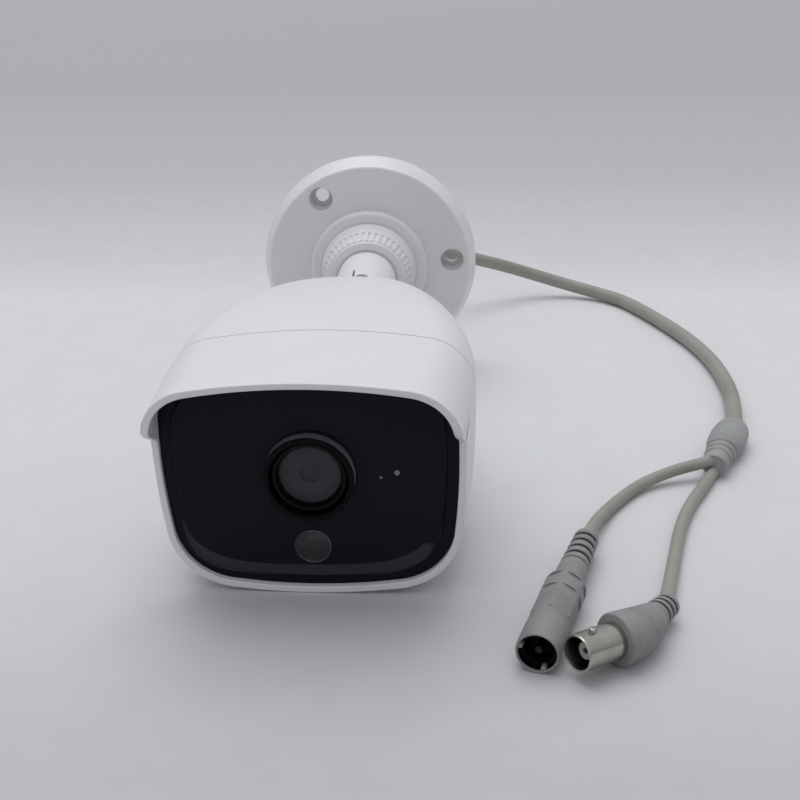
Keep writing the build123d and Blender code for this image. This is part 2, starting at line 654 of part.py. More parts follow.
def cover_screws():
    """Four screws that clamp the chassis between the posts of the two shells."""
    seat = CHASSIS_Z + COVER_SCREW_SEAT
    tip = CHASSIS_BACK_Z - COVER_SCREW_BITE
    shank_r = COVER_SCREW_R - SEAT_GAP
    return [
        disc(COVER_SCREW_HEAD_R, seat, seat + COVER_SCREW_HEAD_H, spot) + disc(shank_r, tip, seat, spot)
        for spot in POSTS
    ]


def window():
    """Dark window: a thin band set back round a raised, round-edged panel, with its ports."""
    step_z = FACE_Z - WINDOW_STEP
    band = head_bar(WINDOW_BACK_Z, step_z, COVER_WALL + WINDOW_GAP)
    panel = head_bar(WINDOW_BACK_Z, FACE_Z, COVER_WALL + WINDOW_GAP + WINDOW_BAND)
    panel = fillet(panel.edges().group_by(Axis.Z)[-1], WINDOW_ROUND)
    pane = band + panel
    pane -= disc(SHROUD_R + SLIP_GAP, WINDOW_BACK_Z, FACE_Z)
    pane -= disc(LED_LENS_R + SLIP_GAP, WINDOW_BACK_Z, FACE_Z, (0, -LED_DOWN))
    pane -= disc(SENSOR_DOT_R + SEAT_GAP, WINDOW_BACK_Z, FACE_Z, SENSOR_DOT)
    return pane - disc(MIC_PORT_R, WINDOW_BACK_Z, FACE_Z, MIC_DOT)


def window_gasket():
    """Adhesive gasket between the window and its seat."""
    outer = head_bar(SEAT_Z, WINDOW_BACK_Z, COVER_WALL + WINDOW_GAP)
    return outer - head_bar(SEAT_Z, WINDOW_BACK_Z, COVER_WALL + SEAT_FLANGE_W) - [
        disc(COVER_SCREW_HEAD_R + FACE_GAP, SEAT_Z, WINDOW_BACK_Z, spot) for spot in POSTS
    ]


def lens_shroud():
    """Black tube round the lens, standing on the lamp board and through the window."""
    front = FACE_Z + SHROUD_PROUD
    tube = disc(SHROUD_R, LED_FRONT_Z, front) - disc(SHROUD_R - SHROUD_WALL, LED_FRONT_Z, front)
    return fillet(tube.edges().group_by(Axis.Z)[-1], SHROUD_ROUND)


def lens_barrel():
    """Lens barrel with a thread behind, a bevelled mouth in front and seats for its two glasses."""
    glass_z = BARREL_FRONT_Z - GLASS_T - GLASS_CROWN
    stop_r = BARREL_BORE_R - BARREL_STOP
    return turned([
        (stop_r, BARREL_BACK_Z + REAR_GLASS_T), (BARREL_BORE_R, BARREL_BACK_Z + REAR_GLASS_T),
        (BARREL_BORE_R, BARREL_BACK_Z), (BARREL_THREAD_R, BARREL_BACK_Z), (BARREL_THREAD_R, BARREL_STEP_Z),
        (BARREL_R, BARREL_STEP_Z), (BARREL_R, BARREL_FRONT_Z), (BARREL_R - BARREL_RIM, BARREL_FRONT_Z),
        (GLASS_R + SEAT_GAP, glass_z + GLASS_T), (GLASS_R + SEAT_GAP, glass_z), (stop_r, glass_z),
    ])


def lens_front_glass():
    """Front element, bulging forward in the mouth of the barrel."""
    z0 = BARREL_FRONT_Z - GLASS_T - GLASS_CROWN
    rim = z0 + GLASS_T
    sides = Polyline((0, 0, rim + GLASS_CROWN), (0, 0, z0), (GLASS_R, 0, z0), (GLASS_R, 0, rim))
    return revolve(make_face([sides, cap_arc(GLASS_R, rim, GLASS_CROWN)]), Axis.Z)


def lens_rear_glass():
    """Rear element in the back of the barrel."""
    return disc(BARREL_BORE_R - SEAT_GAP, BARREL_BACK_Z, BARREL_BACK_Z + REAR_GLASS_T)


def lens_holder():
    """Flange and threaded tube that carry the barrel over the filter frame."""
    body = block((HOLDER_FLANGE_SIDE, FILTER_FRAME_SIZE[1]), FILTER_FRONT_Z, HOLDER_Z)
    body += disc(HOLDER_TUBE_R, FILTER_FRONT_Z, HOLDER_END_Z) & block(
        (HOLDER_FLANGE_SIDE, 2 * HOLDER_TUBE_R), FILTER_FRONT_Z, HOLDER_END_Z
    )
    return body - disc(BARREL_THREAD_R + SEAT_GAP, FILTER_FRONT_Z, HOLDER_END_Z)


def filter_frame():
    """Frame with the slot of the sliding filter, over the image sensor."""
    frame = block(FILTER_FRAME_SIZE, SENSOR_FRONT_Z, FILTER_FRONT_Z)
    well = (CHIP_SIZE[0] + 2 * CHIP_ROOM, CHIP_SIZE[1] + 2 * CHIP_ROOM)
    frame -= block(well, SENSOR_FRONT_Z, SENSOR_FRONT_Z + CHIP_T + CHIP_ROOM)
    slot_z = SENSOR_FRONT_Z + SLIDE_BACK
    travel = FILTER_SLIDE_SIZE[0] + FILTER_PITCH + 2 * SLIP_GAP
    slot = (travel, FILTER_SLIDE_SIZE[1] + 2 * SLIP_GAP)
    frame -= block(slot, slot_z, slot_z + FILTER_SLIDE_T + 2 * SLIP_GAP)
    return frame - disc(LIGHT_HOLE_R, SENSOR_FRONT_Z, FILTER_FRONT_Z)


def filter_slide():
    """Slide with a seat for each of its two glasses."""
    z0 = SENSOR_FRONT_Z + SLIDE_BACK + SLIP_GAP
    slide = block(FILTER_SLIDE_SIZE, z0, z0 + FILTER_SLIDE_T, (-FILTER_PITCH / 2, 0))
    for x in (0.0, -FILTER_PITCH):
        slide -= disc(FILTER_GLASS_R, z0, z0 + FILTER_SLIDE_T, (x, 0))
    return slide


def filter_glass(x):
    """One glass of the slide."""
    z0 = SENSOR_FRONT_Z + SLIDE_BACK + SLIP_GAP
    return disc(FILTER_GLASS_R - SEAT_GAP / 2, z0, z0 + FILTER_SLIDE_T, (x, 0))


def filter_coil():
    """Drive coil on top of the filter frame, with its two end cheeks."""
    y = FILTER_FRAME_SIZE[1] / 2 + COIL_R
    z = SENSOR_FRONT_Z + FILTER_FRAME_T / 2
    coil = Pos(0, y, z) * Rot(Y=90) * Cylinder(COIL_WIRE_R, COIL_L)
    for side in (-1, 1):
        coil += Pos(side * (COIL_L / 2), y, z) * Box(COIL_CHEEK_T, 2 * COIL_R, 2 * COIL_R)
    return coil


def board(size, z0, holes, hole_r, spot=(0.0, 0.0), corner=1.0):
    """Circuit board with round corners and screw holes."""
    plate = extrude(Pos(spot[0], spot[1], z0) * RectangleRounded(size[0], size[1], corner), BOARD_T)
    return plate - [disc(hole_r, z0, z0 + BOARD_T, hole) for hole in holes]


def led_board():
    """Lamp board behind the window, with a hole for the lens."""
    spot = (0, LED_BOARD_UP)
    plate = board(LED_BOARD_SIZE, LED_BACK_Z, LED_PEGS, SMALL_SCREW_R + FACE_GAP, spot, LED_BOARD_CORNER)
    return plate - disc(BARREL_R + SLIP_GAP, LED_BACK_Z, LED_FRONT_Z)


def infrared_led():
    """Infrared lamp on its board."""
    base = block((LED_SIDE, LED_SIDE), LED_FRONT_Z, LED_FRONT_Z + LED_T, (0, -LED_DOWN))
    return base + Pos(0, -LED_DOWN, LED_FRONT_Z + LED_T) * Sphere(LED_DOME_R) & block(
        (LED_SIDE, LED_SIDE), LED_FRONT_Z, LED_FRONT_Z + 2 * LED_T + LED_DOME_R, (0, -LED_DOWN)
    )


def led_lens():
    """Clear lens over the lamp, domed where it shows in the window."""
    rim = FACE_Z + LED_LENS_PROUD - LED_LENS_CROWN
    pocket = LED_FRONT_Z + LED_T + LED_DOME_R + SLIP_GAP
    inner = LED_LENS_R - LED_LENS_WALL
    sides = Polyline(
        (0, 0, rim + LED_LENS_CROWN), (0, 0, pocket), (inner, 0, pocket), (inner, 0, LED_FRONT_Z),
        (LED_LENS_R, 0, LED_FRONT_Z), (LED_LENS_R, 0, rim),
    )
    face = make_face([sides, cap_arc(LED_LENS_R, rim, LED_LENS_CROWN)])
    return Pos(0, -LED_DOWN, 0) * revolve(face, Axis.Z)


def light_sensor():
    """Light sensor with a thin tip that reaches through the window."""
    base = disc(SENSOR_BASE_R, LED_FRONT_Z, LED_FRONT_Z + SENSOR_BASE_L, SENSOR_DOT)
    return base + disc(SENSOR_DOT_R, LED_FRONT_Z, FACE_Z + FACE_GAP / 2, SENSOR_DOT)


def microphone():
    """Microphone capsule behind its pinhole."""
    return disc(MIC_R, LED_FRONT_Z, LED_FRONT_Z + MIC_L, MIC_DOT)


def chassis_plate():
    """Metal plate clamped between the posts, carrying the boards, with a notch for the ribbon."""
    plate = block(CHASSIS_SIZE, CHASSIS_BACK_Z, CHASSIS_Z)
    for x, y in (POST_UPPER, POST_LOWER):
        plate += block((2 * x, 2 * POST_R), CHASSIS_BACK_Z, CHASSIS_Z, (0, y))
    for spot in POSTS:
        plate += disc(POST_R, CHASSIS_BACK_Z, CHASSIS_Z, spot)
        plate -= disc(COVER_SCREW_R + FACE_GAP, CHASSIS_BACK_Z, CHASSIS_Z, spot)
    plate -= block((NOTCH_W, CHASSIS_SIZE[1]), CHASSIS_BACK_Z, CHASSIS_Z, (0, NOTCH_UP + CHASSIS_SIZE[1] / 2))
    plate -= disc(CHASSIS_WINDOW / 2, CHASSIS_BACK_Z, CHASSIS_Z)
    spots = corners(MAIN_SPACER) + corners(SENSOR_SPACER)
    return plate - [disc(SMALL_SCREW_R, CHASSIS_BACK_Z, CHASSIS_Z, spot) for spot in spots]


def main_board():
    """Main board behind the chassis."""
    return board(MAIN_BOARD_SIZE, MAIN_BACK_Z, corners(MAIN_SPACER), SMALL_SCREW_R + FACE_GAP)


def sensor_board():
    """Sensor board in front of the chassis."""
    side = (SENSOR_BOARD_SIDE, SENSOR_BOARD_SIDE)
    return board(side, SENSOR_BACK_Z, corners(SENSOR_SPACER), SMALL_SCREW_R + FACE_GAP)


def board_spacers():
    """Spacers that hold both boards off the chassis."""
    group = [(s, MAIN_FRONT_Z, CHASSIS_BACK_Z) for s in corners(MAIN_SPACER)]
    group += [(s, CHASSIS_Z, SENSOR_BACK_Z) for s in corners(SENSOR_SPACER)]
    return [disc(SPACER_R, z0, z1, s) - disc(SMALL_SCREW_R, z0, z1, s) for s, z0, z1 in group]


def small_screw(spot, seat, direction):
    """Board screw whose head sits on a board face and whose shank runs the other way."""
    head = disc(SMALL_HEAD_R, 0, SMALL_HEAD_H)
    shank = disc(SMALL_SCREW_R - SEAT_GAP, -BOARD_T - SMALL_SCREW_BITE, 0)
    turn = Rot() if direction > 0 else Rot(X=180)
    return Pos(spot[0], spot[1], seat) * turn * (head + shank)


def board_screws():
    """Screws of the main board, the sensor board and the lamp board."""
    group = [small_screw(s, MAIN_BACK_Z, -1) for s in corners(MAIN_SPACER)]
    group += [small_screw(s, SENSOR_FRONT_Z, 1) for s in corners(SENSOR_SPACER)]
    return group + [small_screw(s, LED_BACK_Z, -1) for s in LED_PEGS]


def image_sensor():
    """Image sensor chip on its board."""
    return block(CHIP_SIZE, SENSOR_FRONT_Z, SENSOR_FRONT_Z + CHIP_T)


def ribbon_plugs():
    """Plugs at the two ends of the ribbon."""
    size = (RIBBON_W, RIBBON_PLUG_T)
    return [
        block(size, MAIN_FRONT_Z, MAIN_FRONT_Z + RIBBON_PLUG_L, (0, RIBBON_UP)),
        block(size, LED_BACK_Z - RIBBON_PLUG_L, LED_BACK_Z, (0, RIBBON_UP)),
    ]


def lamp_ribbon():
    """Flat ribbon between the main board and the lamp board."""
    size = (RIBBON_W, RIBBON_T)
    return block(size, MAIN_FRONT_Z + RIBBON_PLUG_L, LED_BACK_Z - RIBBON_PLUG_L, (0, RIBBON_UP))


def main_plug():
    """Plug of the lead on the back of the main board."""
    return block(MAIN_PLUG_SIZE, MAIN_BACK_Z - MAIN_PLUG_L, MAIN_BACK_Z)


def head_lead():
    """Lead inside the head, from the gland to the main board."""
    return disc(HEAD_LEAD_R, GLAND_END_Z + SLIP_GAP, MAIN_BACK_Z - MAIN_PLUG_L)


BRACKET = {
    "wall_base": wall_base(),
    "base_grommet": base_grommet(),
    "bracket_lead": bracket_lead(),
    "friction_washer": friction_washer(),
    "lock_ring": lock_ring(),
    "swivel_neck": swivel_neck(),
    "tilt_screw": tilt_screw(),
}
KNUCKLE = {
    "tilt_knuckle": tilt_knuckle(),
    "tilt_insert": tilt_insert(),
    "stem_seal": stem_seal(),
    "stem_retainer": stem_retainer(),
    "stem_lead": stem_lead(),
    "cable_gland": cable_gland(),
}
HEAD = {
    "rear_housing": rear_housing(),
    "housing_seal": housing_seal(),
    "front_cover": front_cover(),
    "cover_screws": cover_screws(),
    "window": window(),
    "window_gasket": window_gasket(),
    "lens_shroud": lens_shroud(),
    "lens_barrel": lens_barrel(),
    "lens_front_glass": lens_front_glass(),
    "lens_rear_glass": lens_rear_glass(),
    "lens_holder": lens_holder(),
    "filter_frame": filter_frame(),
    "filter_slide": filter_slide(),
    "filter_glass_day": filter_glass(0.0),
    "filter_glass_night": filter_glass(-FILTER_PITCH),
    "filter_coil": filter_coil(),
    "image_sensor": image_sensor(),
    "sensor_board": sensor_board(),
    "led_board": led_board(),
    "infrared_led": infrared_led(),
    "led_lens": led_lens(),
    "light_sensor": light_sensor(),
    "microphone": microphone(),
    "chassis_plate": chassis_plate(),
    "main_board": main_board(),
    "board_spacers": board_spacers(),
    "board_screws": board_screws(),
    "ribbon_plugs": ribbon_plugs(),
    "lamp_ribbon": lamp_ribbon(),
    "main_plug": main_plug(),
    "head_lead": head_lead(),
}

# The head rolled on its stem and turned on the tilt axis, then the whole leaned until the base rim and the
# bezel both touch the table, and set with its origin under the middle of its box
TURN = Pos(0, 0, PIVOT_Z) * Rot(Y=-HEAD_TURN) * Pos(0, 0, -PIVOT_Z)
ROLL = TURN * Rot(Z=HEAD_ROLL)
rim_rise = BASE_R - HEAD_BOTTOM
rim_run = (BEZEL_Z - PIVOT_Z) * math.cos(math.radians(HEAD_TURN)) + PIVOT_Z - BASE_LIP
LEAN = math.degrees(math.atan2(rim_rise, rim_run))
LEANED = Rot(X=90 + LEAN)
shells = [LEANED * BRACKET["wall_base"]]
shells += [LEANED * ROLL * HEAD[name] for name in ("rear_housing", "front_cover")]
boxes = [shell.bounding_box() for shell in shells]
middle = [(min(b.min.X for b in boxes) + max(b.max.X for b in boxes)) / 2]
middle += [(min(b.min.Y for b in boxes) + max(b.max.Y for b in boxes)) / 2]
STAND = Pos(-middle[0], -middle[1], -min(b.min.Z for b in boxes)) * LEANED


def cord(name, points, radius):
    """Lead along straight runs joined by the largest tangent arcs that the runs allow."""
    spots = [Vector(*p) for p in points]
    radii = []
    for a, b, c in zip(spots, spots[1:], spots[2:]):
        turn = math.radians((b - a).get_angle(c - b))
        radii.append(ARC_SHARE * min((b - a).length, (c - b).length) / math.tan(turn / 2))
    path = FilletPolyline(*spots, radius=radii)
    tube = sweep(Plane(origin=path @ 0, z_dir=path % 0) * Circle(radius), path=path)
    share = tube.volume / (math.pi * radius ** 2 * path.length)
    print(f"{name}: length {path.length:.1f}, least radius {min(radii):.1f}, volume share {share:.4f}")
    print("  radii", " ".join(f"{r:.0f}" for r in radii))
    return tube


def lying(spot, heading, rise=0.0):
    """Frame of a piece that lies on the table: its z points along a heading, its y points up."""
    turn = math.radians(heading)
    lift = math.radians(rise)
    ahead = Vector(math.cos(turn) * math.cos(lift), math.sin(turn) * math.cos(lift), math.sin(lift))
    return Plane(origin=spot, x_dir=Vector(math.sin(turn), -math.cos(turn), 0) * -1, z_dir=ahead).location


def ribbed(z0, z1, r0, r1):
    """Profile points of a tapered sleeve with a groove behind each rib."""
    pitch = (z1 - z0) / RELIEF_RIBS
    points = []
    for k in range(RELIEF_RIBS):
        low = z0 + k * pitch
        radius = r0 + (r1 - r0) * k / (RELIEF_RIBS - 1)
        groove_r = radius - RELIEF_GROOVE
        points += [(radius, low), (radius, low + RELIEF_RIB_SHARE * pitch)]
        points += [(groove_r, low + RELIEF_RIB_SHARE * pitch), (groove_r, low + pitch)]
    return points


def cable_splitter():
    """Moulded block where the lead divides, on the table."""
    start = Vector(*SPLIT_FROM, SPLIT_HEIGHT)
    end = Vector(*SPLIT_TO, SPLIT_HEIGHT)
    heading = math.degrees(math.atan2(end.Y - start.Y, end.X - start.X))
    length = (end - start).length
    body = loft([Pos(0, 0, share * length) * Ellipse(wide, high) for share, wide, high in SPLIT_OVALS])
    for share, wide, high in SPLIT_GROOVES:
        ring = Ellipse(wide + OVERCUT, high + OVERCUT)
        ring -= Ellipse(wide - SPLIT_GROOVE_DEPTH, high - SPLIT_GROOVE_DEPTH)
        body -= extrude(Pos(0, 0, share * length) * ring, SPLIT_GROOVE_W)
    return lying(start, heading) * body


POWER_NECK_Z = POWER_RELIEF_L + POWER_NECK_L
POWER_FRONT_Z = POWER_NECK_Z + POWER_BODY_L
POWER_FLOOR_Z = POWER_FRONT_Z - POWER_CUP_DEPTH
POWER_AT = lying(POWER_ENTRY, POWER_HEADING)


def power_jack_body():
    """Grey body of the power socket: ribbed relief, neck, grip with flats and an open mouth with two keys."""
    shoulder = POWER_NECK_Z + POWER_SLOPE * (POWER_BODY_R - POWER_NECK_R)
    mouth = POWER_FRONT_Z - POWER_MOUTH_L
    profile = [(0, 0)] + ribbed(0, POWER_RELIEF_L, POWER_RELIEF_R, POWER_NECK_R)
    profile += [
        (POWER_NECK_R, POWER_RELIEF_L), (POWER_NECK_R, POWER_NECK_Z), (POWER_BODY_R, shoulder),
        (POWER_BODY_R, mouth), (POWER_MOUTH_R, mouth + POWER_STEP_L), (POWER_MOUTH_R, POWER_FRONT_Z),
        (POWER_CUP_R, POWER_FRONT_Z), (POWER_CUP_R, POWER_FLOOR_Z), (0, POWER_FLOOR_Z),
    ]
    body = turned(profile)
    flat_z = mouth - POWER_FLAT_BACK - POWER_FLAT_L
    grip = disc(POWER_MOUTH_R, flat_z, flat_z + POWER_FLAT_L)
    hexagon = RegularPolygon(POWER_FLAT_R, 6, major_radius=False)
    body -= grip - extrude(Pos(0, 0, flat_z) * hexagon, POWER_FLAT_L)
    key_z = POWER_FRONT_Z - POWER_KEY_L
    for angle in POWER_KEY_ANGLES:
        body += Rot(Z=angle) * disc(POWER_KEY_R, key_z, POWER_FRONT_Z - POWER_KEY_BACK, (POWER_CUP_R, 0))
    return POWER_AT * body


def power_jack_liner():
    """Black liner in the mouth of the power socket."""
    front = POWER_FRONT_Z - POWER_KEY_L - SLIP_GAP
    tube = disc(POWER_CUP_R - SEAT_GAP, POWER_FLOOR_Z, front)
    tube -= disc(POWER_CUP_R - LINER_WALL, POWER_FLOOR_Z + LINER_WALL, front)
    return POWER_AT * (tube - disc(POWER_PIN_R, POWER_FLOOR_Z, front))


def power_jack_pin():
    """Centre pin of the power socket."""
    return POWER_AT * disc(POWER_PIN_R, POWER_FLOOR_Z, POWER_FRONT_Z - POWER_KEY_L)


VIDEO_AT = lying(VIDEO_BOOT_AT, VIDEO_HEADING, VIDEO_RISE)
SHELL_FRONT_Z = BOOT_L + SHELL_PROUD


def video_boot():
    """Grey boot of the video socket, with its ribbed relief bent towards the lead."""
    pocket_r = SHELL_R + SEAT_GAP
    boot = turned([
        (0, 0), (BOOT_BACK_R, 0), (BOOT_R, BOOT_L - BOOT_BAND_L), (BOOT_R, BOOT_L - BOOT_EDGE),
        (BOOT_R - BOOT_EDGE, BOOT_L), (pocket_r, BOOT_L), (pocket_r, BOOT_L - BOOT_POCKET),
        (0, BOOT_L - BOOT_POCKET),
    ])
    reach = Vector(*VIDEO_BOOT_AT) - Vector(*VIDEO_ENTRY)
    heading = math.degrees(math.atan2(reach.Y, reach.X))
    rise = math.degrees(math.asin(reach.Z / reach.length))
    end_r = BOOT_BACK_R - BOOT_EDGE
    low = reach.length - BOOT_BURY
    high = reach.length + BOOT_BURY
    sleeve = turned(
        [(0, 0)] + ribbed(0, low, VIDEO_RELIEF_R, end_r) + [(end_r, low), (end_r, high), (0, high)]
    )
    return VIDEO_AT * boot + lying(VIDEO_ENTRY, heading, rise) * sleeve


def video_jack_shell():
    """Metal bayonet barrel of the video socket with its two studs."""
    shell = disc(SHELL_R, BOOT_L - BOOT_POCKET, SHELL_FRONT_Z)
    for side in (1, -1):
        height = SHELL_R + STUD_H
        shell += Pos(0, side * height / 2, SHELL_FRONT_Z - STUD_BACK) * Rot(X=90) * Cylinder(STUD_R, height)
    return VIDEO_AT * (shell - disc(SHELL_R - SHELL_WALL, SHELL_FRONT_Z - DIELECTRIC_DEPTH, SHELL_FRONT_Z))


def video_jack_dielectric():
    """Pale insulator round the centre contact."""
    floor = SHELL_FRONT_Z - DIELECTRIC_DEPTH
    front = SHELL_FRONT_Z - DIELECTRIC_BACK
    body = disc(SHELL_R - SHELL_WALL - SEAT_GAP, floor, floor + DIELECTRIC_FLOOR)
    body += disc(DIELECTRIC_R, floor, front)
    return VIDEO_AT * (body - disc(CONTACT_R, floor, front))


def video_jack_contact():
    """Centre contact, a tube that takes the plug's pin."""
    floor = SHELL_FRONT_Z - DIELECTRIC_DEPTH
    front = SHELL_FRONT_Z - DIELECTRIC_BACK
    return VIDEO_AT * (disc(CONTACT_R, floor, front) - disc(CONTACT_HOLE_R, floor + DIELECTRIC_FLOOR, front))


def as_part(shape):
    """One piece, or a group of like pieces as one part."""
    return Compound(children=shape) if isinstance(shape, list) else shape


def spot_of(location):
    """Place of a location, as three numbers."""
    return tuple(location.position)


lead_start = [spot_of(STAND), spot_of(STAND * Pos(0, 0, -LEAD_OUT))]
split_start = (*SPLIT_FROM, SPLIT_HEIGHT)
nodes = {name: STAND * as_part(shape) for name, shape in BRACKET.items()}
nodes.update({name: STAND * TURN * as_part(shape) for name, shape in KNUCKLE.items()})
nodes.update({name: STAND * ROLL * as_part(shape) for name, shape in HEAD.items()})
nodes.update({
    "main_cable": cord("main_cable", lead_start + MAIN_ROUTE + [split_start], LEAD_R),
    "cable_splitter": cable_splitter(),
    "power_lead": cord("power_lead", POWER_ROUTE + [POWER_ENTRY], BRANCH_R),
    "power_jack_body": power_jack_body(),
    "power_jack_liner": power_jack_liner(),
    "power_jack_pin": power_jack_pin(),
    "video_lead": cord("video_lead", VIDEO_ROUTE + [VIDEO_ENTRY], BRANCH_R),
    "video_boot": video_boot(),
    "video_jack_shell": video_jack_shell(),
    "video_jack_dielectric": video_jack_dielectric(),
    "video_jack_contact": video_jack_contact(),
})

os.makedirs("parts", exist_ok=True)
for name, shape in nodes.items():
    export_step(shape, f"parts/{name}.step")


def show(label, place, ahead=None):
    """Print a place, or the direction from a place to a second one."""
    spot = Vector(*spot_of(place))
    value = spot if ahead is None else Vector(*spot_of(ahead)) - spot
    print(label, [round(v, 5) for v in value])


PIVOT = STAND * Pos(0, 0, PIVOT_Z)
HEAD_PIVOT = STAND * ROLL * Pos(0, 0, PIVOT_Z)
print("lean", round(LEAN, 4))
show("wall face centre", STAND)
show("pivot", PIVOT)
show("forward", PIVOT, PIVOT * Pos(0, 0, 1))
show("up", PIVOT, PIVOT * Pos(0, 1, 0))
show("head forward", HEAD_PIVOT, HEAD_PIVOT * Pos(0, 0, 1))
show("head right", HEAD_PIVOT, HEAD_PIVOT * Pos(1, 0, 0))
show("video front", VIDEO_AT * Pos(0, 0, SHELL_FRONT_Z))
show("power front", POWER_AT * Pos(0, 0, POWER_FRONT_Z))
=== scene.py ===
"""Bullet security camera on its wall bracket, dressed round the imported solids, in metres."""

import json
import math

import bmesh
import bpy
from bpy.props import FloatProperty, FloatVectorProperty, IntProperty, PointerProperty
from bpy.types import Operator, Panel, PropertyGroup
from mathutils import Matrix, Vector


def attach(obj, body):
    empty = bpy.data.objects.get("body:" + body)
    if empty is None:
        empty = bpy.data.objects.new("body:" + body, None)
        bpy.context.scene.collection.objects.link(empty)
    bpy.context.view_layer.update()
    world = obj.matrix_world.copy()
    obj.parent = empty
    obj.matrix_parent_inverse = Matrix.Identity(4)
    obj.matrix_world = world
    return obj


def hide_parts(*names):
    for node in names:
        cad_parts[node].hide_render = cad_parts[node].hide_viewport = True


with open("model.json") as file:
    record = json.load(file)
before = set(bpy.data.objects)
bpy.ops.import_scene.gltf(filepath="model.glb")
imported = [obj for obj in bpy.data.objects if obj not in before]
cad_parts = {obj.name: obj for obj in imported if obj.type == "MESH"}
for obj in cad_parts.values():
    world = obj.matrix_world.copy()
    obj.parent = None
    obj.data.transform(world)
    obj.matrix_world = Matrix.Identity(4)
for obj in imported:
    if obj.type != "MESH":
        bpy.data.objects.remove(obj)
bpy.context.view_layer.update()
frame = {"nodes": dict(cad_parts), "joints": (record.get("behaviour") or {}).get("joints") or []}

bl_info = {
    "name": "Bullet Camera",
    "version": (1, 0, 0),
    "blender": (4, 5, 0),
    "location": "3D View > Sidebar > Camera",
    "description": "Builds a bullet security camera, its bracket and its split lead",
    "category": "Object",
}

MM = 0.001
JOINTS = {joint["name"]: joint for joint in frame["joints"]}


def axes_at(origin, forward, up):
    """Frame whose z points forward and whose y points up, at an origin."""
    forward = Vector(forward).normalized()
    up = Vector(up).normalized()
    place = Matrix((up.cross(forward), up, forward)).transposed().to_4x4()
    place.translation = Vector(origin)
    return place


UP = -Vector(JOINTS["tilt"]["axis"])
BRACKET = axes_at(JOINTS["pan"]["pos_m"], JOINTS["pan"]["axis"], UP)
LENS_AXIS = Vector(JOINTS["roll"]["axis"])
HEAD = axes_at(JOINTS["tilt"]["pos_m"], LENS_AXIS, LENS_AXIS.cross(Vector(JOINTS["filter_shift"]["axis"])))


def lying(spot, heading, rise=0.0):
    """Frame of a piece that lies on the table: its z runs along a heading, its y points up."""
    turn = math.radians(heading)
    lift = math.radians(rise)
    ahead = Vector((math.cos(turn) * math.cos(lift), math.sin(turn) * math.cos(lift), math.sin(lift)))
    side = Vector((-math.sin(turn), math.cos(turn), 0))
    return axes_at(Vector(spot) * MM, ahead, ahead.cross(side))


# Places of the pieces that lie on the table
POWER_AT = lying((75.0, -69.4, 5.6), -107.2)
VIDEO_AT = lying((88.2, -118.2, 6.3), -144.1, 3.2)
SPLIT_AT = lying((137.9, 19.0, 4.75), -112.82)

# Stations and spots in the frame of the head, in millimetres: z runs forward from the hinge
FACE_Z = 141.9
COLLAR_ROOT = FACE_Z - 3.0
COLLAR_FRONT = FACE_Z + 3.0
SIDE_ROOT = FACE_Z - 2.0
CELL_ROOT = FACE_Z - 12.0
CELL_RIM = FACE_Z + 1.2
LAMP_RIM = FACE_Z + 0.1
LAMP_SPOT = (-0.3, -21.7, 0)
MICROPHONE_SPOT = (19.2, -0.5, 0)

# Routes of the lead, in millimetres: the main lead leaves the base straight and comes down to the table
LEAD_STRAIGHT = 17.0
LEAD_EXIT = BRACKET @ Vector((0, 0, 0)) / MM
LEAD_OUT = BRACKET @ Vector((0, 0, -LEAD_STRAIGHT * MM)) / MM
MAIN_ROUTE = [
    tuple(LEAD_EXIT), tuple(LEAD_OUT),
    (7.9, 146.5, 41.2), (21.9, 167.5, 35.0), (41.0, 185.0, 26.9), (61.5, 198.5, 18.6), (79.5, 205.8, 11.3),
    (96.0, 205.6, 6.2), (110.6, 199.2, 3.6), (121.4, 187.4, 3.1), (129.5, 166.5, 3.1), (136.8, 144.0, 3.1),
    (142.9, 120.2, 3.1), (146.2, 95.7, 3.1), (146.4, 70.7, 3.1), (144.2, 47.4, 3.5), (137.9, 19.0, 4.75),
]
POWER_ROUTE = [
    (125.5, -12.4, 6.4), (119.1, -16.2, 5.8), (111.9, -17.6, 4.6), (104.5, -20.7, 3.3), (96.9, -26.1, 2.3),
    (89.8, -35.3, 2.0), (83.3, -46.1, 2.4), (78.3, -57.7, 4.0), (75.0, -69.4, 5.6),
]
VIDEO_ROUTE = [
    (123.9, -14.1, 2.4), (118.5, -25.4, 2.1), (113.1, -35.5, 2.0), (108.2, -46.6, 2.0), (104.1, -58.9, 2.0),
    (100.8, -71.4, 2.0), (97.6, -83.4, 2.1), (95.0, -93.4, 2.7), (93.2, -99.9, 3.7), (92.3, -104.4, 4.4),
]


class CameraColours(PropertyGroup):
    """Colours of the finishes."""

    shell: FloatVectorProperty(
        name="Shell", description="White moulded shell", subtype="COLOR", size=3, default=(0.80, 0.80, 0.80)
    )
    window: FloatVectorProperty(
        name="Window", description="Dark window", subtype="COLOR", size=3, default=(0.0066, 0.0084, 0.0130)
    )
    # Colour of the reflection of the table, painted along the lower edge of the window
    reflection_band: FloatVectorProperty(
        name="Film", description="Film along the lower edge of the window", subtype="COLOR", size=3,
        default=(0.036, 0.039, 0.045),
    )
    jacket: FloatVectorProperty(
        name="Lead jacket", description="Jacket of the lead", subtype="COLOR", size=3,
        default=(0.315, 0.31, 0.275),
    )
    moulding: FloatVectorProperty(
        name="Mouldings", description="Grey of the sockets and splitter", subtype="COLOR", size=3,
        default=(0.265, 0.27, 0.265),
    )
    table: FloatVectorProperty(
        name="Table", description="Pale table", subtype="COLOR", size=3, default=(0.74, 0.745, 0.755)
    )


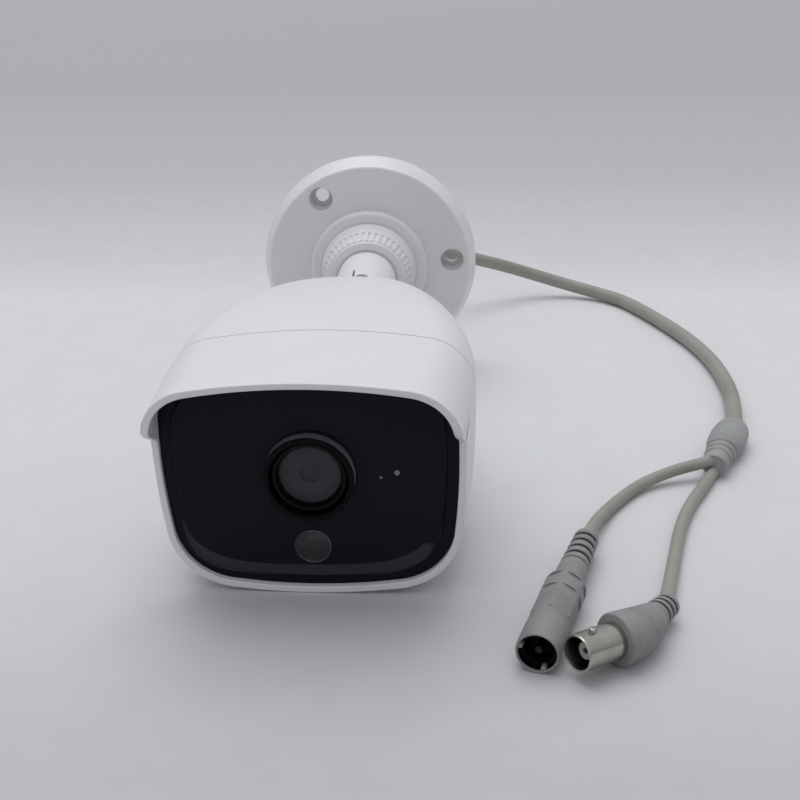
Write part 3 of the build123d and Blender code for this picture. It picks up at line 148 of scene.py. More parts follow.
class CameraSizes(PropertyGroup):
    """Sizes of what is added to the solids."""

    edge_round: FloatProperty(
        name="Edge rounding", description="Rounding of the edges of the white mouldings", unit="LENGTH",
        default=0.0004,
    )
    lead_radius: FloatProperty(
        name="Lead radius", description="Radius of the main lead", unit="LENGTH", default=0.003
    )
    branch_radius: FloatProperty(
        name="Branch radius", description="Radius of the two branches", unit="LENGTH", default=0.00195
    )
    turn_steps: IntProperty(name="Turn steps", description="Faces round a turned piece", default=72)


# Finishes


def new_group(name, inputs, outputs):
    """Empty shader node group with named float or colour sockets."""
    group = bpy.data.node_groups.new(name, "ShaderNodeTree")
    for label, kind, value in inputs:
        socket = group.interface.new_socket(label, in_out="INPUT", socket_type=kind)
        socket.default_value = value
    for label, kind in outputs:
        group.interface.new_socket(label, in_out="OUTPUT", socket_type=kind)
    start = group.nodes.new("NodeGroupInput")
    end = group.nodes.new("NodeGroupOutput")
    return group, start, end


def noise(tree, vector, scale, detail=3.0, roughness=0.55):
    """Noise texture on a vector, with a fixed or linked scale."""
    node = tree.nodes.new("ShaderNodeTexNoise")
    node.inputs["Detail"].default_value = detail
    node.inputs["Roughness"].default_value = roughness
    tree.links.new(vector, node.inputs["Vector"])
    if isinstance(scale, bpy.types.NodeSocket):
        tree.links.new(scale, node.inputs["Scale"])
    else:
        node.inputs["Scale"].default_value = scale
    return node.outputs["Fac"]


def spread(tree, value, low, high, to_low=0.0, to_high=1.0):
    """Value mapped from one range to another, clamped."""
    node = tree.nodes.new("ShaderNodeMapRange")
    node.inputs["From Min"].default_value = low
    node.inputs["From Max"].default_value = high
    node.inputs["To Min"].default_value = to_low
    node.inputs["To Max"].default_value = to_high
    tree.links.new(value, node.inputs["Value"])
    return node.outputs["Result"]


def sums(tree, operation, a, b):
    """Math node on two sockets, or on a socket and a number."""
    node = tree.nodes.new("ShaderNodeMath")
    node.operation = operation
    for socket, value in zip(node.inputs, (a, b)):
        if isinstance(value, bpy.types.NodeSocket):
            tree.links.new(value, socket)
        else:
            socket.default_value = value
    return node.outputs[0]


def grain_group():
    """Spark-eroded grain of moulded plastic: a height and a faint tone."""
    group, start, end = new_group(
        "moulded_grain",
        [("Scale", "NodeSocketFloat", 1800.0)],
        [("Height", "NodeSocketFloat"), ("Tone", "NodeSocketFloat")],
    )
    where = group.nodes.new("ShaderNodeTexCoord").outputs["Object"]
    fine = noise(group, where, start.outputs["Scale"], 2.0)
    broad = noise(group, where, 55.0, 4.0)
    height = sums(group, "ADD", fine, sums(group, "MULTIPLY", broad, 0.35))
    group.links.new(height, end.inputs["Height"])
    group.links.new(spread(group, broad, 0.3, 0.7), end.inputs["Tone"])
    return group


def marks_group():
    """Handling marks: soft smudges with finer specks in them, as a mask."""
    group, start, end = new_group(
        "handling_marks",
        [("Scale", "NodeSocketFloat", 28.0), ("Cover", "NodeSocketFloat", 0.5)],
        [("Mask", "NodeSocketFloat")],
    )
    where = group.nodes.new("ShaderNodeTexCoord").outputs["Object"]
    cloud = noise(group, where, start.outputs["Scale"], 5.0, 0.6)
    specks = noise(group, where, 900.0, 2.0, 0.7)
    soft = spread(group, cloud, 0.45, 0.75)
    fleck = spread(group, specks, 0.58, 0.72)
    both = sums(group, "ADD", sums(group, "MULTIPLY", soft, 0.75), sums(group, "MULTIPLY", fleck, 0.25))
    group.links.new(sums(group, "MULTIPLY", both, start.outputs["Cover"]), end.inputs["Mask"])
    return group


# Painted reflection along the lower edge of the window, in metres in the frame of the head: half width,
# half height and power of its outer and inner outline, its shift to the side, the slant and the height of its
# upper ends
REFLECTION_OUTLINES = ((0.0355, 0.0313, 4.6), (0.0362, 0.0275, 3.4))
REFLECTION_BLUR = (0.985, 1.015)
REFLECTION_SHIFT = 0.0013
REFLECTION_SLANT = 0.155
REFLECTION_TOP = (-0.0162, -0.0148)


def reflection_band_group():
    """Painted reflection along the lower edge of the window, between two rounded outlines, as a mask."""
    group, start, end = new_group(
        "window_painted_reflection", [("Wander", "NodeSocketFloat", 0.05)], [("Mask", "NodeSocketFloat")]
    )
    where = group.nodes.new("ShaderNodeTexCoord").outputs["Object"]
    turn = group.nodes.new("ShaderNodeMapping")
    inverse = HEAD.inverted()
    turn.inputs["Location"].default_value = inverse.translation
    turn.inputs["Rotation"].default_value = inverse.to_euler()
    group.links.new(where, turn.inputs["Vector"])
    split = group.nodes.new("ShaderNodeSeparateXYZ")
    group.links.new(turn.outputs["Vector"], split.inputs["Vector"])
    across = sums(group, "ADD", split.outputs["X"], REFLECTION_SHIFT)
    rise = split.outputs["Y"]
    ripple = sums(group, "SUBTRACT", noise(group, where, 120.0, 3.0), 0.5)
    ripple = sums(group, "MULTIPLY", ripple, start.outputs["Wander"])
    outlines = []
    for half_width, half_height, power in REFLECTION_OUTLINES:
        reach = [
            sums(group, "POWER", sums(group, "ABSOLUTE", sums(group, "DIVIDE", value, half), 0.0), power)
            for value, half in ((across, half_width), (rise, half_height))
        ]
        outlines.append(sums(group, "ADD", *reach))
    inside = spread(group, outlines[0], *REFLECTION_BLUR, 1.0, 0.0)
    outside = spread(group, sums(group, "ADD", outlines[1], ripple), *REFLECTION_BLUR)
    line = sums(group, "ADD", rise, sums(group, "MULTIPLY", across, REFLECTION_SLANT))
    below = spread(group, line, *REFLECTION_TOP, 1.0, 0.0)
    mask = sums(group, "MULTIPLY", sums(group, "MULTIPLY", inside, outside), below)
    group.links.new(mask, end.inputs["Mask"])
    return group


# What has been made so far, by name
GROUPS = {}
FINISHES = {}

# Shares of a base colour: in its handling marks where no other is given, and in the darker of its grain
SOIL_SHARE = 0.72
GRAIN_SHARE = 0.965


def shared_group(name):
    """Shader group of a name, built once."""
    makers = {"moulded_grain": grain_group, "handling_marks": marks_group, "window_painted_reflection": reflection_band_group}
    if name not in GROUPS:
        GROUPS[name] = makers[name]()
    return GROUPS[name]


def place_group(tree, name, **values):
    """Instance of a shared group in a material, with its own values."""
    node = tree.nodes.new("ShaderNodeGroup")
    node.node_tree = shared_group(name)
    for label, value in values.items():
        node.inputs[label].default_value = value
    return node


def blended(tree, factor, a, b):
    """Colour between two colours by a factor."""
    node = tree.nodes.new("ShaderNodeMix")
    node.data_type = "RGBA"
    tree.links.new(factor, node.inputs["Factor"])
    for socket, value in ((node.inputs["A"], a), (node.inputs["B"], b)):
        if isinstance(value, bpy.types.NodeSocket):
            tree.links.new(value, socket)
        else:
            socket.default_value = (*value, 1.0)
    return node.outputs["Result"]


def finish(
    name, colour, roughness, soil=None, cover=0.5, marks=28.0, grain=1800.0, relief=0.08, depth=0.00005,
    uneven=0.12, **sockets,
):
    """Material with grain, handling marks and uneven gloss over a base colour.

    Values for other sockets of its shader are given by name, with _ for a space.
    """
    if name in FINISHES:
        return FINISHES[name]
    material = bpy.data.materials.new(name)
    material.use_nodes = True
    tree = material.node_tree
    shader = tree.nodes["Principled BSDF"]
    for label, value in sockets.items():
        shader.inputs[label.replace("_", " ")].default_value = value
    skin = place_group(tree, "moulded_grain", Scale=grain)
    dirt = place_group(tree, "handling_marks", Scale=marks, Cover=cover)
    soil = soil or tuple(SOIL_SHARE * c for c in colour)
    tone = blended(tree, skin.outputs["Tone"], tuple(GRAIN_SHARE * c for c in colour), colour)
    tree.links.new(blended(tree, dirt.outputs["Mask"], tone, soil), shader.inputs["Base Color"])
    smooth, rough = max(0.02, roughness - uneven / 2), min(1.0, roughness + uneven)
    gloss = spread(tree, dirt.outputs["Mask"], 0.0, 1.0, smooth, rough)
    tree.links.new(gloss, shader.inputs["Roughness"])
    bump = tree.nodes.new("ShaderNodeBump")
    bump.inputs["Strength"].default_value = relief
    bump.inputs["Distance"].default_value = depth
    tree.links.new(skin.outputs["Height"], bump.inputs["Height"])
    tree.links.new(bump.outputs["Normal"], shader.inputs["Normal"])
    FINISHES[name] = material
    return material


def make_finishes(colours):
    """All the finishes of the object, by the names of its materials."""
    grey = tuple(colours.moulding)
    moulded = {"cover": 0.6, "marks": 90.0, "relief": 0.25, "depth": 0.0001}
    clear = {"relief": 0.0, "uneven": 0.03, "Transmission_Weight": 1.0, "IOR": 1.5}
    finish(
        "white_shell", tuple(colours.shell), 0.42, soil=(0.62, 0.61, 0.58), cover=0.10, relief=0.10,
        depth=0.00006,
    )
    window = finish(
        "dark_window", tuple(colours.window), 0.12, soil=(0.008, 0.009, 0.011), cover=0.30, marks=40.0,
        relief=0.01, uneven=0.10, Specular_IOR_Level=0.10,
    )
    # reflection of the table, painted along the lower edge of the window
    lay_painted_reflection(window, tuple(colours.reflection_band))
    finish("black_shroud", (0.003, 0.003, 0.004), 0.18, cover=0.3, relief=0.02, Specular_IOR_Level=0.08)
    # painted reflection of light from above on the black side of the lens collar
    finish("painted_sheen_side", (0.15, 0.157, 0.175), 0.45, cover=0.4, marks=120.0)
    finish("black_cell", (0.003, 0.003, 0.004), 0.35, cover=0.3, relief=0.02, Specular_IOR_Level=0.12)
    # greys of the parts behind the front glass: painted reflection of the glass
    finish("painted_reflection_grey", (0.135, 0.144, 0.160), 0.45, cover=0.2, relief=0.0)
    finish("lens_core_painted_reflection", (0.130, 0.140, 0.156), 0.40, cover=0.2, relief=0.0)
    finish("lens_stop_painted_reflection", (0.105, 0.113, 0.126), 0.18, cover=0.3, relief=0.0)
    finish("lens_front", (0.010, 0.011, 0.013), 0.05, cover=0.1, relief=0.0, uneven=0.03, Alpha=0.32)
    finish("black_baffle", (0.008, 0.008, 0.009), 0.55, cover=0.2)
    finish(
        "lead_jacket", tuple(colours.jacket), 0.55, soil=(0.17, 0.16, 0.125), cover=0.45, marks=60.0,
        relief=0.10,
    )
    finish("grey_moulding", grey, 0.62, soil=(0.115, 0.115, 0.11), **moulded)
    # lighter copy of the grey moulding for the splitter: painted light
    finish("lit_moulding", tuple(1.2 * c for c in grey), 0.62, soil=(0.16, 0.16, 0.15), **moulded)
    # darker copy of the grey moulding: painted shade in the gaps between the ribs of the reliefs
    finish("painted_gap_shade", tuple(0.22 * c for c in grey), 0.75, cover=0.5, marks=90.0)
    # black of the liner in the power socket, also used as painted shade at the bottom of the video barrel
    finish("black_liner_and_painted_shade", (0.002, 0.002, 0.004), 0.50, Specular_IOR_Level=0.15)
    finish(
        "nickel", (0.50, 0.48, 0.44), 0.26, soil=(0.26, 0.23, 0.18), cover=0.6, marks=180.0, uneven=0.25,
        relief=0.04, Metallic=1.0,
    )
    finish("brass", (0.62, 0.45, 0.20), 0.35, Metallic=1.0, relief=0.05)
    # near-black metal for the pins deep inside the sockets: painted shade
    finish("pin_painted_shade", (0.03, 0.03, 0.03), 0.45, Metallic=1.0, relief=0.05)
    # darker copy of the nickel: painted shade on the inner wall of the video barrel
    finish("painted_shade_nickel", (0.17, 0.155, 0.13), 0.35, cover=0.5, marks=180.0, Metallic=1.0, relief=0.04)
    finish("steel", (0.50, 0.50, 0.51), 0.32, Metallic=1.0, relief=0.05)
    finish("copper", (0.45, 0.16, 0.07), 0.35, Metallic=1.0, grain=4000.0, relief=0.3)
    finish("insulator", (0.42, 0.43, 0.40), 0.45, soil=(0.24, 0.24, 0.21), cover=0.5)
    finish("black_rubber", (0.012, 0.012, 0.012), 0.70, relief=0.2)
    finish("washer_grey", (0.10, 0.10, 0.10), 0.55)
    finish("board_green", (0.02, 0.11, 0.05), 0.40, soil=(0.03, 0.16, 0.08), cover=0.6, marks=300.0)
    finish("board_dark", (0.05, 0.054, 0.062), 0.50)
    finish("pale_plastic", (0.70, 0.68, 0.62), 0.45)
    finish("grey_resin", (0.20, 0.205, 0.215), 0.35)
    finish("lamp_resin", (0.32, 0.31, 0.29), 0.25)
    finish("lens_glass", (0.9, 0.92, 0.93), 0.03, cover=0.1, **clear)
    finish(
        "lamp_glass", (0.60, 0.61, 0.64), 0.22, cover=0.2, relief=0.0, uneven=0.05,
        Transmission_Weight=1.0, IOR=1.45,
    )
    finish("day_glass", (0.55, 0.75, 0.72), 0.04, **clear)


def lay_painted_reflection(material, colour):
    """Painted reflection on a window, laid over its colour."""
    tree = material.node_tree
    base = tree.nodes["Principled BSDF"].inputs["Base Color"]
    reflection_band = place_group(tree, "window_painted_reflection")
    tree.links.new(blended(tree, reflection_band.outputs["Mask"], base.links[0].from_socket, colour), base)


# Solids by the finish that they show
DRESS = {
    "white_shell": ["wall_base", "lock_ring", "swivel_neck", "tilt_knuckle", "rear_housing", "front_cover"],
    "black_rubber": ["base_grommet", "stem_seal", "cable_gland", "housing_seal", "window_gasket"],
    "lead_jacket": ["bracket_lead", "stem_lead", "head_lead", "main_cable", "power_lead", "video_lead"],
    "grey_moulding": ["cable_splitter", "power_jack_body", "video_boot"],
    "washer_grey": ["friction_washer"],
    "steel": [
        "tilt_screw", "cover_screws", "board_screws", "board_spacers", "stem_retainer", "chassis_plate",
    ],
    "brass": ["tilt_insert"],
    "pin_painted_shade": ["power_jack_pin", "video_jack_contact"],
    "dark_window": ["window"],
    "black_shroud": ["lens_shroud"],
    "black_baffle": [
        "lens_barrel", "lens_holder", "filter_frame", "filter_slide", "ribbon_plugs", "image_sensor",
    ],
    "black_liner_and_painted_shade": ["power_jack_liner"],
    "lens_glass": ["lens_front_glass", "lens_rear_glass", "filter_glass_night"],
    "lamp_glass": ["led_lens"],
    "day_glass": ["filter_glass_day"],
    "copper": ["filter_coil"],
    "board_green": ["sensor_board", "main_board"],
    "board_dark": ["led_board"],
    "lamp_resin": ["infrared_led"],
    "grey_resin": ["light_sensor", "microphone"],
    "pale_plastic": ["lamp_ribbon", "main_plug"],
    "insulator": ["video_jack_dielectric"],
    "nickel": ["video_jack_shell"],
}

# Solids whose edges are rounded, with their bodies and their shares of the edge rounding
SHELLS = (("lock_ring", "ring", 0.4), ("rear_housing", "head", 0.5), ("front_cover", "head", 1.2))

# Lip that closes the ring round the neck, as (radius, station) points in the frame of the bracket
RING_LIP = (
    (11.76, 26.6), (12.25, 26.6), (12.25, 28.0), (12.05, 28.1), (11.85, 28.05), (11.76, 27.9), (11.76, 26.6),
)


# Shapes

SHARP_ANGLE = 30.0
ROUND_SEGMENTS = 2


def soften(bm, width, angle=SHARP_ANGLE):
    """Round the edges of a shape that are sharper than an angle."""
    limit = math.radians(angle)
    sharp = [e for e in bm.edges if len(e.link_faces) == 2 and e.calc_face_angle() > limit]
    bmesh.ops.bevel(
        bm, geom=sharp, offset=width, offset_type="OFFSET", affect="EDGES", segments=ROUND_SEGMENTS,
        profile=0.5, material=-1, clamp_overlap=True,
    )


def turned(profile, steps):
    """Shape spun about z from (radius, station) points in millimetres."""
    bm = bmesh.new()
    verts = [bm.verts.new((radius * MM, 0, z * MM)) for radius, z in profile]
    edges = [bm.edges.new(pair) for pair in zip(verts, verts[1:])]
    bmesh.ops.spin(
        bm, geom=verts + edges, cent=(0, 0, 0), axis=(0, 0, 1), angle=math.tau, steps=steps, use_merge=True
    )
    bmesh.ops.remove_doubles(bm, verts=bm.verts, dist=1e-7)
    bmesh.ops.recalc_face_normals(bm, faces=bm.faces)
    return bm


def joined(shapes):
    """One shape out of several."""
    first = shapes[0]
    for shape in shapes[1:]:
        mesh = bpy.data.meshes.new("joined")
        shape.to_mesh(mesh)
        shape.free()
        first.from_mesh(mesh)
        bpy.data.meshes.remove(mesh)
    return first


def moved(bm, spot, turn=Matrix()):
    """Shape turned and then moved to a spot in millimetres."""
    bmesh.ops.transform(bm, matrix=Matrix.Translation(Vector(spot) * MM) @ turn, verts=bm.verts)
    return bm


def bar(radius, z0, z1, steps, rounding=0.0):
    """Round bar along z between two stations in millimetres, with its ends rounded where asked."""
    bm = bmesh.new()
    bmesh.ops.create_cone(
        bm, cap_ends=True, segments=steps, radius1=radius * MM, radius2=radius * MM, depth=(z1 - z0) * MM
    )
    if rounding:
        soften(bm, rounding * MM, 40.0)
    return moved(bm, (0, 0, (z0 + z1) / 2))


def flatted(radius, flat, count, z0, z1, steps):
    """Round bar with flats cut on it."""
    bm = bar(radius, z0, z1, steps)
    for k in range(count):
        turn = math.tau * k / count
        out = Vector((math.cos(turn), math.sin(turn), 0))
        bmesh.ops.bisect_plane(
            bm, geom=bm.verts[:] + bm.edges[:] + bm.faces[:], plane_co=out * flat * MM, plane_no=out,
            clear_outer=True,
        )
        bmesh.ops.holes_fill(bm, edges=bm.edges, sides=0)
    return bm


# Ribs of a relief, as shares of their pitch from the middle of a rib: its foot and the start of the shade
# painted between two ribs
RIB_FOOT = 0.36
RIB_SHADE_EDGE = 0.28


def rib(share):
    """Height of a round rib, from 0 to 1, at a share of its pitch."""
    return max(0.0, 1.0 - abs((share % 1.0 - 0.5) / RIB_FOOT) ** 3) ** (1 / 3)


def gap(share):
    """Whether a share of the pitch of a rib lies in the gap between two ribs, where shade is painted."""
    return abs(share % 1.0 - 0.5) > RIB_SHADE_EDGE


def swept(sections, steps, gaps=()):
    """Shape drawn through oval sections, each a place, a half width and a half height in millimetres.

    The stretches whose numbers are in gaps take the second finish of the piece.
    """
    bm = bmesh.new()
    place, wide, high = sections[0]
    last = place @ Matrix.Diagonal((wide * MM, high * MM, 1.0, 1.0))
    bmesh.ops.create_circle(bm, cap_ends=False, segments=steps, radius=1.0, matrix=last)
    ring = bm.edges[:]
    for index, (place, wide, high) in enumerate(sections[1:]):
        drawn = bmesh.ops.extrude_edge_only(bm, edges=ring)["geom"]
        for face in drawn:
            if isinstance(face, bmesh.types.BMFace):
                face.material_index = int(index in gaps)
        ring = [e for e in drawn if isinstance(e, bmesh.types.BMEdge)]
        new = place @ Matrix.Diagonal((wide * MM, high * MM, 1.0, 1.0))
        verts = [v for v in drawn if isinstance(v, bmesh.types.BMVert)]
        bmesh.ops.transform(bm, matrix=new @ last.inverted(), verts=verts)
        last = new
    bmesh.ops.holes_fill(bm, edges=bm.edges, sides=0)
    bmesh.ops.recalc_face_normals(bm, faces=bm.faces)
    return bm


DISH_STEPS = 14


def dished(radius, z, crown):
    """Profile points of a bulging glass, from its rim to the axis."""
    ball = (radius ** 2 + crown ** 2) / (2 * crown)
    reach = math.asin(radius / ball)
    turns = [reach * (1 - k / DISH_STEPS) for k in range(DISH_STEPS + 1)]
    return [(ball * math.sin(t), z + crown - ball * (1 - math.cos(t))) for t in turns]


def set_piece(name, bm, place, finish_name, body, nodes=(), angle=35.0, inlays=()):
    """Object of a shape, moved to its place in the mesh, that rides on a body and stands for solids.

    Edges sharper than the angle stay sharp, and the inlays are finishes for some of its faces.
    """
    bmesh.ops.transform(bm, matrix=place, verts=bm.verts)
    mesh = bpy.data.meshes.new(name)
    bm.to_mesh(mesh)
    bm.free()
    mesh.shade_smooth()
    mesh.set_sharp_from_angle(angle=math.radians(angle))
    for label in (finish_name, *inlays):
        mesh.materials.append(FINISHES[label])
    piece = bpy.data.objects.new(name, mesh)
    bpy.context.scene.collection.objects.link(piece)
    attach(piece, body)
    if nodes:
        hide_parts(*nodes)
    return piece


FLAT_ANGLE = 0.05


def rounded_copy(name, node, body, width):
    """Copy of a white moulding with its sharp edges rounded, which stands for it."""
    bm = bmesh.new()
    bm.from_mesh(frame["nodes"][node].data)
    bmesh.ops.remove_doubles(bm, verts=bm.verts, dist=1e-6)
    bmesh.ops.dissolve_limit(bm, angle_limit=math.radians(FLAT_ANGLE), verts=bm.verts, edges=bm.edges)
    piece = set_piece(name, bm, Matrix(), "white_shell", body, [node])
    rounding = piece.modifiers.new("rounding", "BEVEL")
    rounding.width = width
    rounding.segments = ROUND_SEGMENTS
    rounding.limit_method = "ANGLE"
    rounding.angle_limit = math.radians(SHARP_ANGLE)
    rounding.use_clamp_overlap = False
    rounding.harden_normals = True
    return piece


def lead_curve(name, route, radius):
    """Lead as one smooth curve along its route."""
    curve = bpy.data.curves.new(name, "CURVE")
    curve.dimensions = "3D"
    curve.bevel_depth = radius
    curve.bevel_resolution = 6
    curve.resolution_u = 10
    curve.use_fill_caps = True
    spline = curve.splines.new("NURBS")
    spline.points.add(len(route) - 1)
    for point, spot in zip(spline.points, route):
        point.co = (*(c * MM for c in spot), 1.0)
    spline.order_u = 3
    spline.use_endpoint_u = True
    curve.materials.append(FINISHES["lead_jacket"])
    piece = bpy.data.objects.new(name, curve)
    bpy.context.scene.collection.objects.link(piece)
    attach(piece, "base")
    return piece


# Operators


class CAMERA_OT_finishes(Operator):
    """Make the finishes and put them on the solids"""

    bl_idname = "camera_part.finishes"
    bl_label = "Finishes"

    def execute(self, context):
        make_finishes(context.scene.camera_colours)
        for name, nodes in DRESS.items():
            for node in nodes:
                mesh = frame["nodes"][node].data
                mesh.materials.clear()
                mesh.materials.append(FINISHES[name])
        return {"FINISHED"}


class CAMERA_OT_shells(Operator):
    """Round the edges of the white mouldings and close the ring round the neck"""

    bl_idname = "camera_part.shells"
    bl_label = "White mouldings"

    def execute(self, context):
        width = context.scene.camera_sizes.edge_round
        for node, body, share in SHELLS:
            rounded_copy(f"{node}_moulding", node, body, share * width)
        lip = turned(RING_LIP, context.scene.camera_sizes.turn_steps)
        set_piece("ring_lip", lip, BRACKET, "white_shell", "ring")
        return {"FINISHED"}


# Radii of the front glass, of the iris and of the lens over the lamp, in millimetres
GLASS_R = 8.35
IRIS_R = 2.6
LAMP_R = 4.7


class CAMERA_OT_lens(Operator):
    """Turn the lens, its collar and the rings inside it"""

    bl_idname = "camera_part.lens"
    bl_label = "Lens"

    def execute(self, context):
        steps = context.scene.camera_sizes.turn_steps
        front, rim = COLLAR_FRONT, CELL_RIM
        collar = turned([
            (10.75, COLLAR_ROOT), (12.45, COLLAR_ROOT), (12.45, front - 0.5), (12.32, front - 0.15),
            (12.0, front), (11.2, front), (10.9, front - 0.12), (10.75, front - 0.5), (10.75, COLLAR_ROOT),
        ], steps)
        set_piece("lens_collar", collar, HEAD, "black_shroud", "head", ["lens_shroud"])
        # A grey skin on the outer side of the collar: painted reflection of light from above on its black
        # wall.
        side = turned([
            (12.4, SIDE_ROOT), (12.5, SIDE_ROOT), (12.5, front - 0.5), (12.46, front - 0.35),
            (12.4, front - 0.5), (12.4, SIDE_ROOT),
        ], steps)
        set_piece("collar_side", side, HEAD, "painted_sheen_side", "head")
        cell = turned([
            (6.1, CELL_ROOT), (10.2, CELL_ROOT), (10.2, rim - 0.4), (9.9, rim), (9.2, rim), (8.4, rim - 1.4),
            (8.4, rim - 4.2), (6.1, rim - 4.2), (6.1, CELL_ROOT),
        ], steps)
        set_piece("lens_cell", cell, HEAD, "black_cell", "head", ["lens_barrel"])
        glass = turned([(0, rim - 1.7), (GLASS_R, rim - 1.7)] + dished(GLASS_R, rim - 1.4, 1.2), steps)
        set_piece("front_glass", glass, HEAD, "lens_front", "head", ["lens_front_glass"])
        # The ring, the inner disc and the iris behind the front glass are grey: painted reflection of the
        # glass.
        reflection_ring = turned([
            (8.36, rim - 1.85), (7.5, rim - 3.0), (7.5, rim - 3.6), (8.36, rim - 3.6), (8.36, rim - 1.85),
        ], steps)
        set_piece("lens_ring", reflection_ring, HEAD, "painted_reflection_grey", "head")
        core = turned([
            (7.6, rim - 3.1), (6.6, rim - 2.95), (6.4, rim - 3.05), (2.95, rim - 3.1), (2.8, rim - 3.9),
            (0, rim - 3.9), (0, rim - 4.15), (7.6, rim - 4.15), (7.6, rim - 3.1),
        ], steps)
        set_piece("lens_inner", core, HEAD, "lens_core_painted_reflection", "head")
        floor = [(0, rim - 3.95), (IRIS_R, rim - 3.95), (IRIS_R, rim - 3.9)]
        iris = turned(dished(IRIS_R, rim - 3.9, 0.35) + floor, steps)
        set_piece("lens_iris", iris, HEAD, "lens_stop_painted_reflection", "head")
        return {"FINISHED"}


class CAMERA_OT_lamp(Operator):
    """Turn the lens over the infrared lamp"""

    bl_idname = "camera_part.lamp"
    bl_label = "Lamp lens"

    def execute(self, context):
        steps = context.scene.camera_sizes.turn_steps
        rim = LAMP_RIM
        place = HEAD @ Matrix.Translation(Vector(LAMP_SPOT) * MM)
        glass = turned([(0, rim - 1.6), (LAMP_R, rim - 1.6)] + dished(LAMP_R, rim, 0.9), steps)
        set_piece("lamp_dome", glass, place, "lamp_glass", "head", ["led_lens"])
        # The grey rim round the lamp lens is a painted highlight.
        edge = turned([
            (LAMP_R, rim - 0.5), (4.9, rim - 0.05), (4.98, rim + 0.12), (5.05, rim - 0.05), (5.05, rim - 0.5),
            (LAMP_R, rim - 0.5),
        ], steps)
        set_piece("lamp_edge", edge, place, "painted_reflection_grey", "head")
        return {"FINISHED"}


class CAMERA_OT_spots(Operator):
    """Set the screen of the microphone in its port"""

    bl_idname = "camera_part.spots"
    bl_label = "Microphone screen"

    def execute(self, context):
        screen = moved(bar(0.44, FACE_Z - 0.8, FACE_Z - 0.05, 24, 0.1), MICROPHONE_SPOT)
        set_piece("microphone_screen", screen, HEAD, "grey_resin", "head")
        return {"FINISHED"}


# Power socket, in millimetres from its back end: relief and its ribs, flats of the grip, mouth and its keys
POWER_RELIEF = 20.0
POWER_RIBS = 5
RELIEF_STEPS = 100
GRIP_FLATS = 6
MOUTH_R = 4.95
MOUTH_EDGE = 64.3
KEY_CIRCLE = 4.72
KEY_TURNS = (165.0, 290.0)


class CAMERA_OT_power_socket(Operator):
    """Build the power socket: ribbed relief, grip with flats and an open mouth with two keys"""

    bl_idname = "camera_part.power_socket"
    bl_label = "Power socket"

    def execute(self, context):
        steps = context.scene.camera_sizes.turn_steps
        relief = [(0, 0)]
        for k in range(RELIEF_STEPS + 1):
            share = k / RELIEF_STEPS
            height = (1.1 + 0.2 * share) * rib(POWER_RIBS * share)
            relief.append((2.5 + 0.4 * share + height, POWER_RELIEF * share))
        back = turned(relief + [
            (3.9, 20.0), (4.2, 20.3), (4.35, 28.4), (4.7, 29.2), (5.3, 30.0), (5.7, 31.0), (5.8, 32.0),
            (0, 32.0),
        ], steps)
        pitch = POWER_RELIEF / POWER_RIBS
        for face in back.faces:
            z = face.calc_center_median().z / MM
            # faces in the gaps between the ribs take painted shade
            face.material_index = int(0.2 < z < POWER_RELIEF and gap(z / pitch))
        band = turned([(0, 34.6), (5.75, 34.6), (5.8, 35.0), (5.8, 38.0), (5.75, 38.4), (0, 38.4)], steps)
        mouth = turned([
            (0, 50.6), (5.6, 50.6), (5.65, 51.0), (5.6, 52.6), (5.65, 53.6), (5.72, 55.0), (5.75, 63.6),
            (5.62, 64.5), (5.45, 65.0), (5.25, 65.1), (5.05, 64.9), (4.95, 64.4), (4.9, 63.6), (4.9, 57.1),
            (0, 57.1),
        ], steps)
        for face in mouth.faces:
            spot = face.calc_center_median() / MM
            face.material_index = 2 if spot.z < MOUTH_EDGE and spot.xy.length < MOUTH_R else 0
        keys = [
            moved(bar(0.75, 62.4, 64.6, 20, 0.25), (KEY_CIRCLE * math.cos(a), KEY_CIRCLE * math.sin(a), 0))
            for a in map(math.radians, KEY_TURNS)
        ]
        web = bmesh.new()
        bmesh.ops.create_cube(web, size=MM, matrix=Matrix.Diagonal((2.0, 1.5, 18.0, 1.0)))
        soften(web, 0.3 * MM)
        neck = flatted(5.8, 5.25, GRIP_FLATS, 32.0, 34.6, steps)
        grip = flatted(5.75, 5.2, GRIP_FLATS, 38.4, 50.6, steps)
        body = joined([back, neck, band, grip, mouth] + keys + [moved(web, (2.5, 0, 10.6))])
        set_piece(
            "power_socket", body, POWER_AT, "grey_moulding", "base", ["power_jack_body"],
            28.0, ["painted_gap_shade", "black_liner_and_painted_shade"],
        )
        return {"FINISHED"}


# Boot of the video socket, in millimetres; a run is counted back from its front
BOOT_FRONT = 16.0
BOOT_EDGE = 0.8
BOOT_RING_PITCH = 4.2
BOOT_RELIEF = 17.8
BOOT_RIBS = 4
BOOT_END = 29.0
BOOT_STEP = 0.2
BOOT_STEPS = 141
BOOT_STRAIGHT = 2.0
BOOT_BEND = math.radians(22.0)
BOOT_BEND_R = 30.0
BOOT_SAG = 0.0016


def boot_place(run):
    """Place on the line of the boot at a run: straight, bent towards the lead, straight."""
    turn = min(max(run - BOOT_STRAIGHT, 0.0) / BOOT_BEND_R, BOOT_BEND)
    x = -BOOT_BEND_R * (1.0 - math.cos(turn))
    z = BOOT_FRONT - min(run, BOOT_STRAIGHT) - BOOT_BEND_R * math.sin(turn)
    rest = max(0.0, run - BOOT_STRAIGHT - BOOT_BEND_R * BOOT_BEND)
    x -= rest * math.sin(BOOT_BEND)
    z -= rest * math.cos(BOOT_BEND)
    drop = -BOOT_SAG * run * run
    spot = Matrix.Translation(Vector((x, drop, z)) * MM)
    return spot @ Matrix.Rotation(turn, 4, "Y")


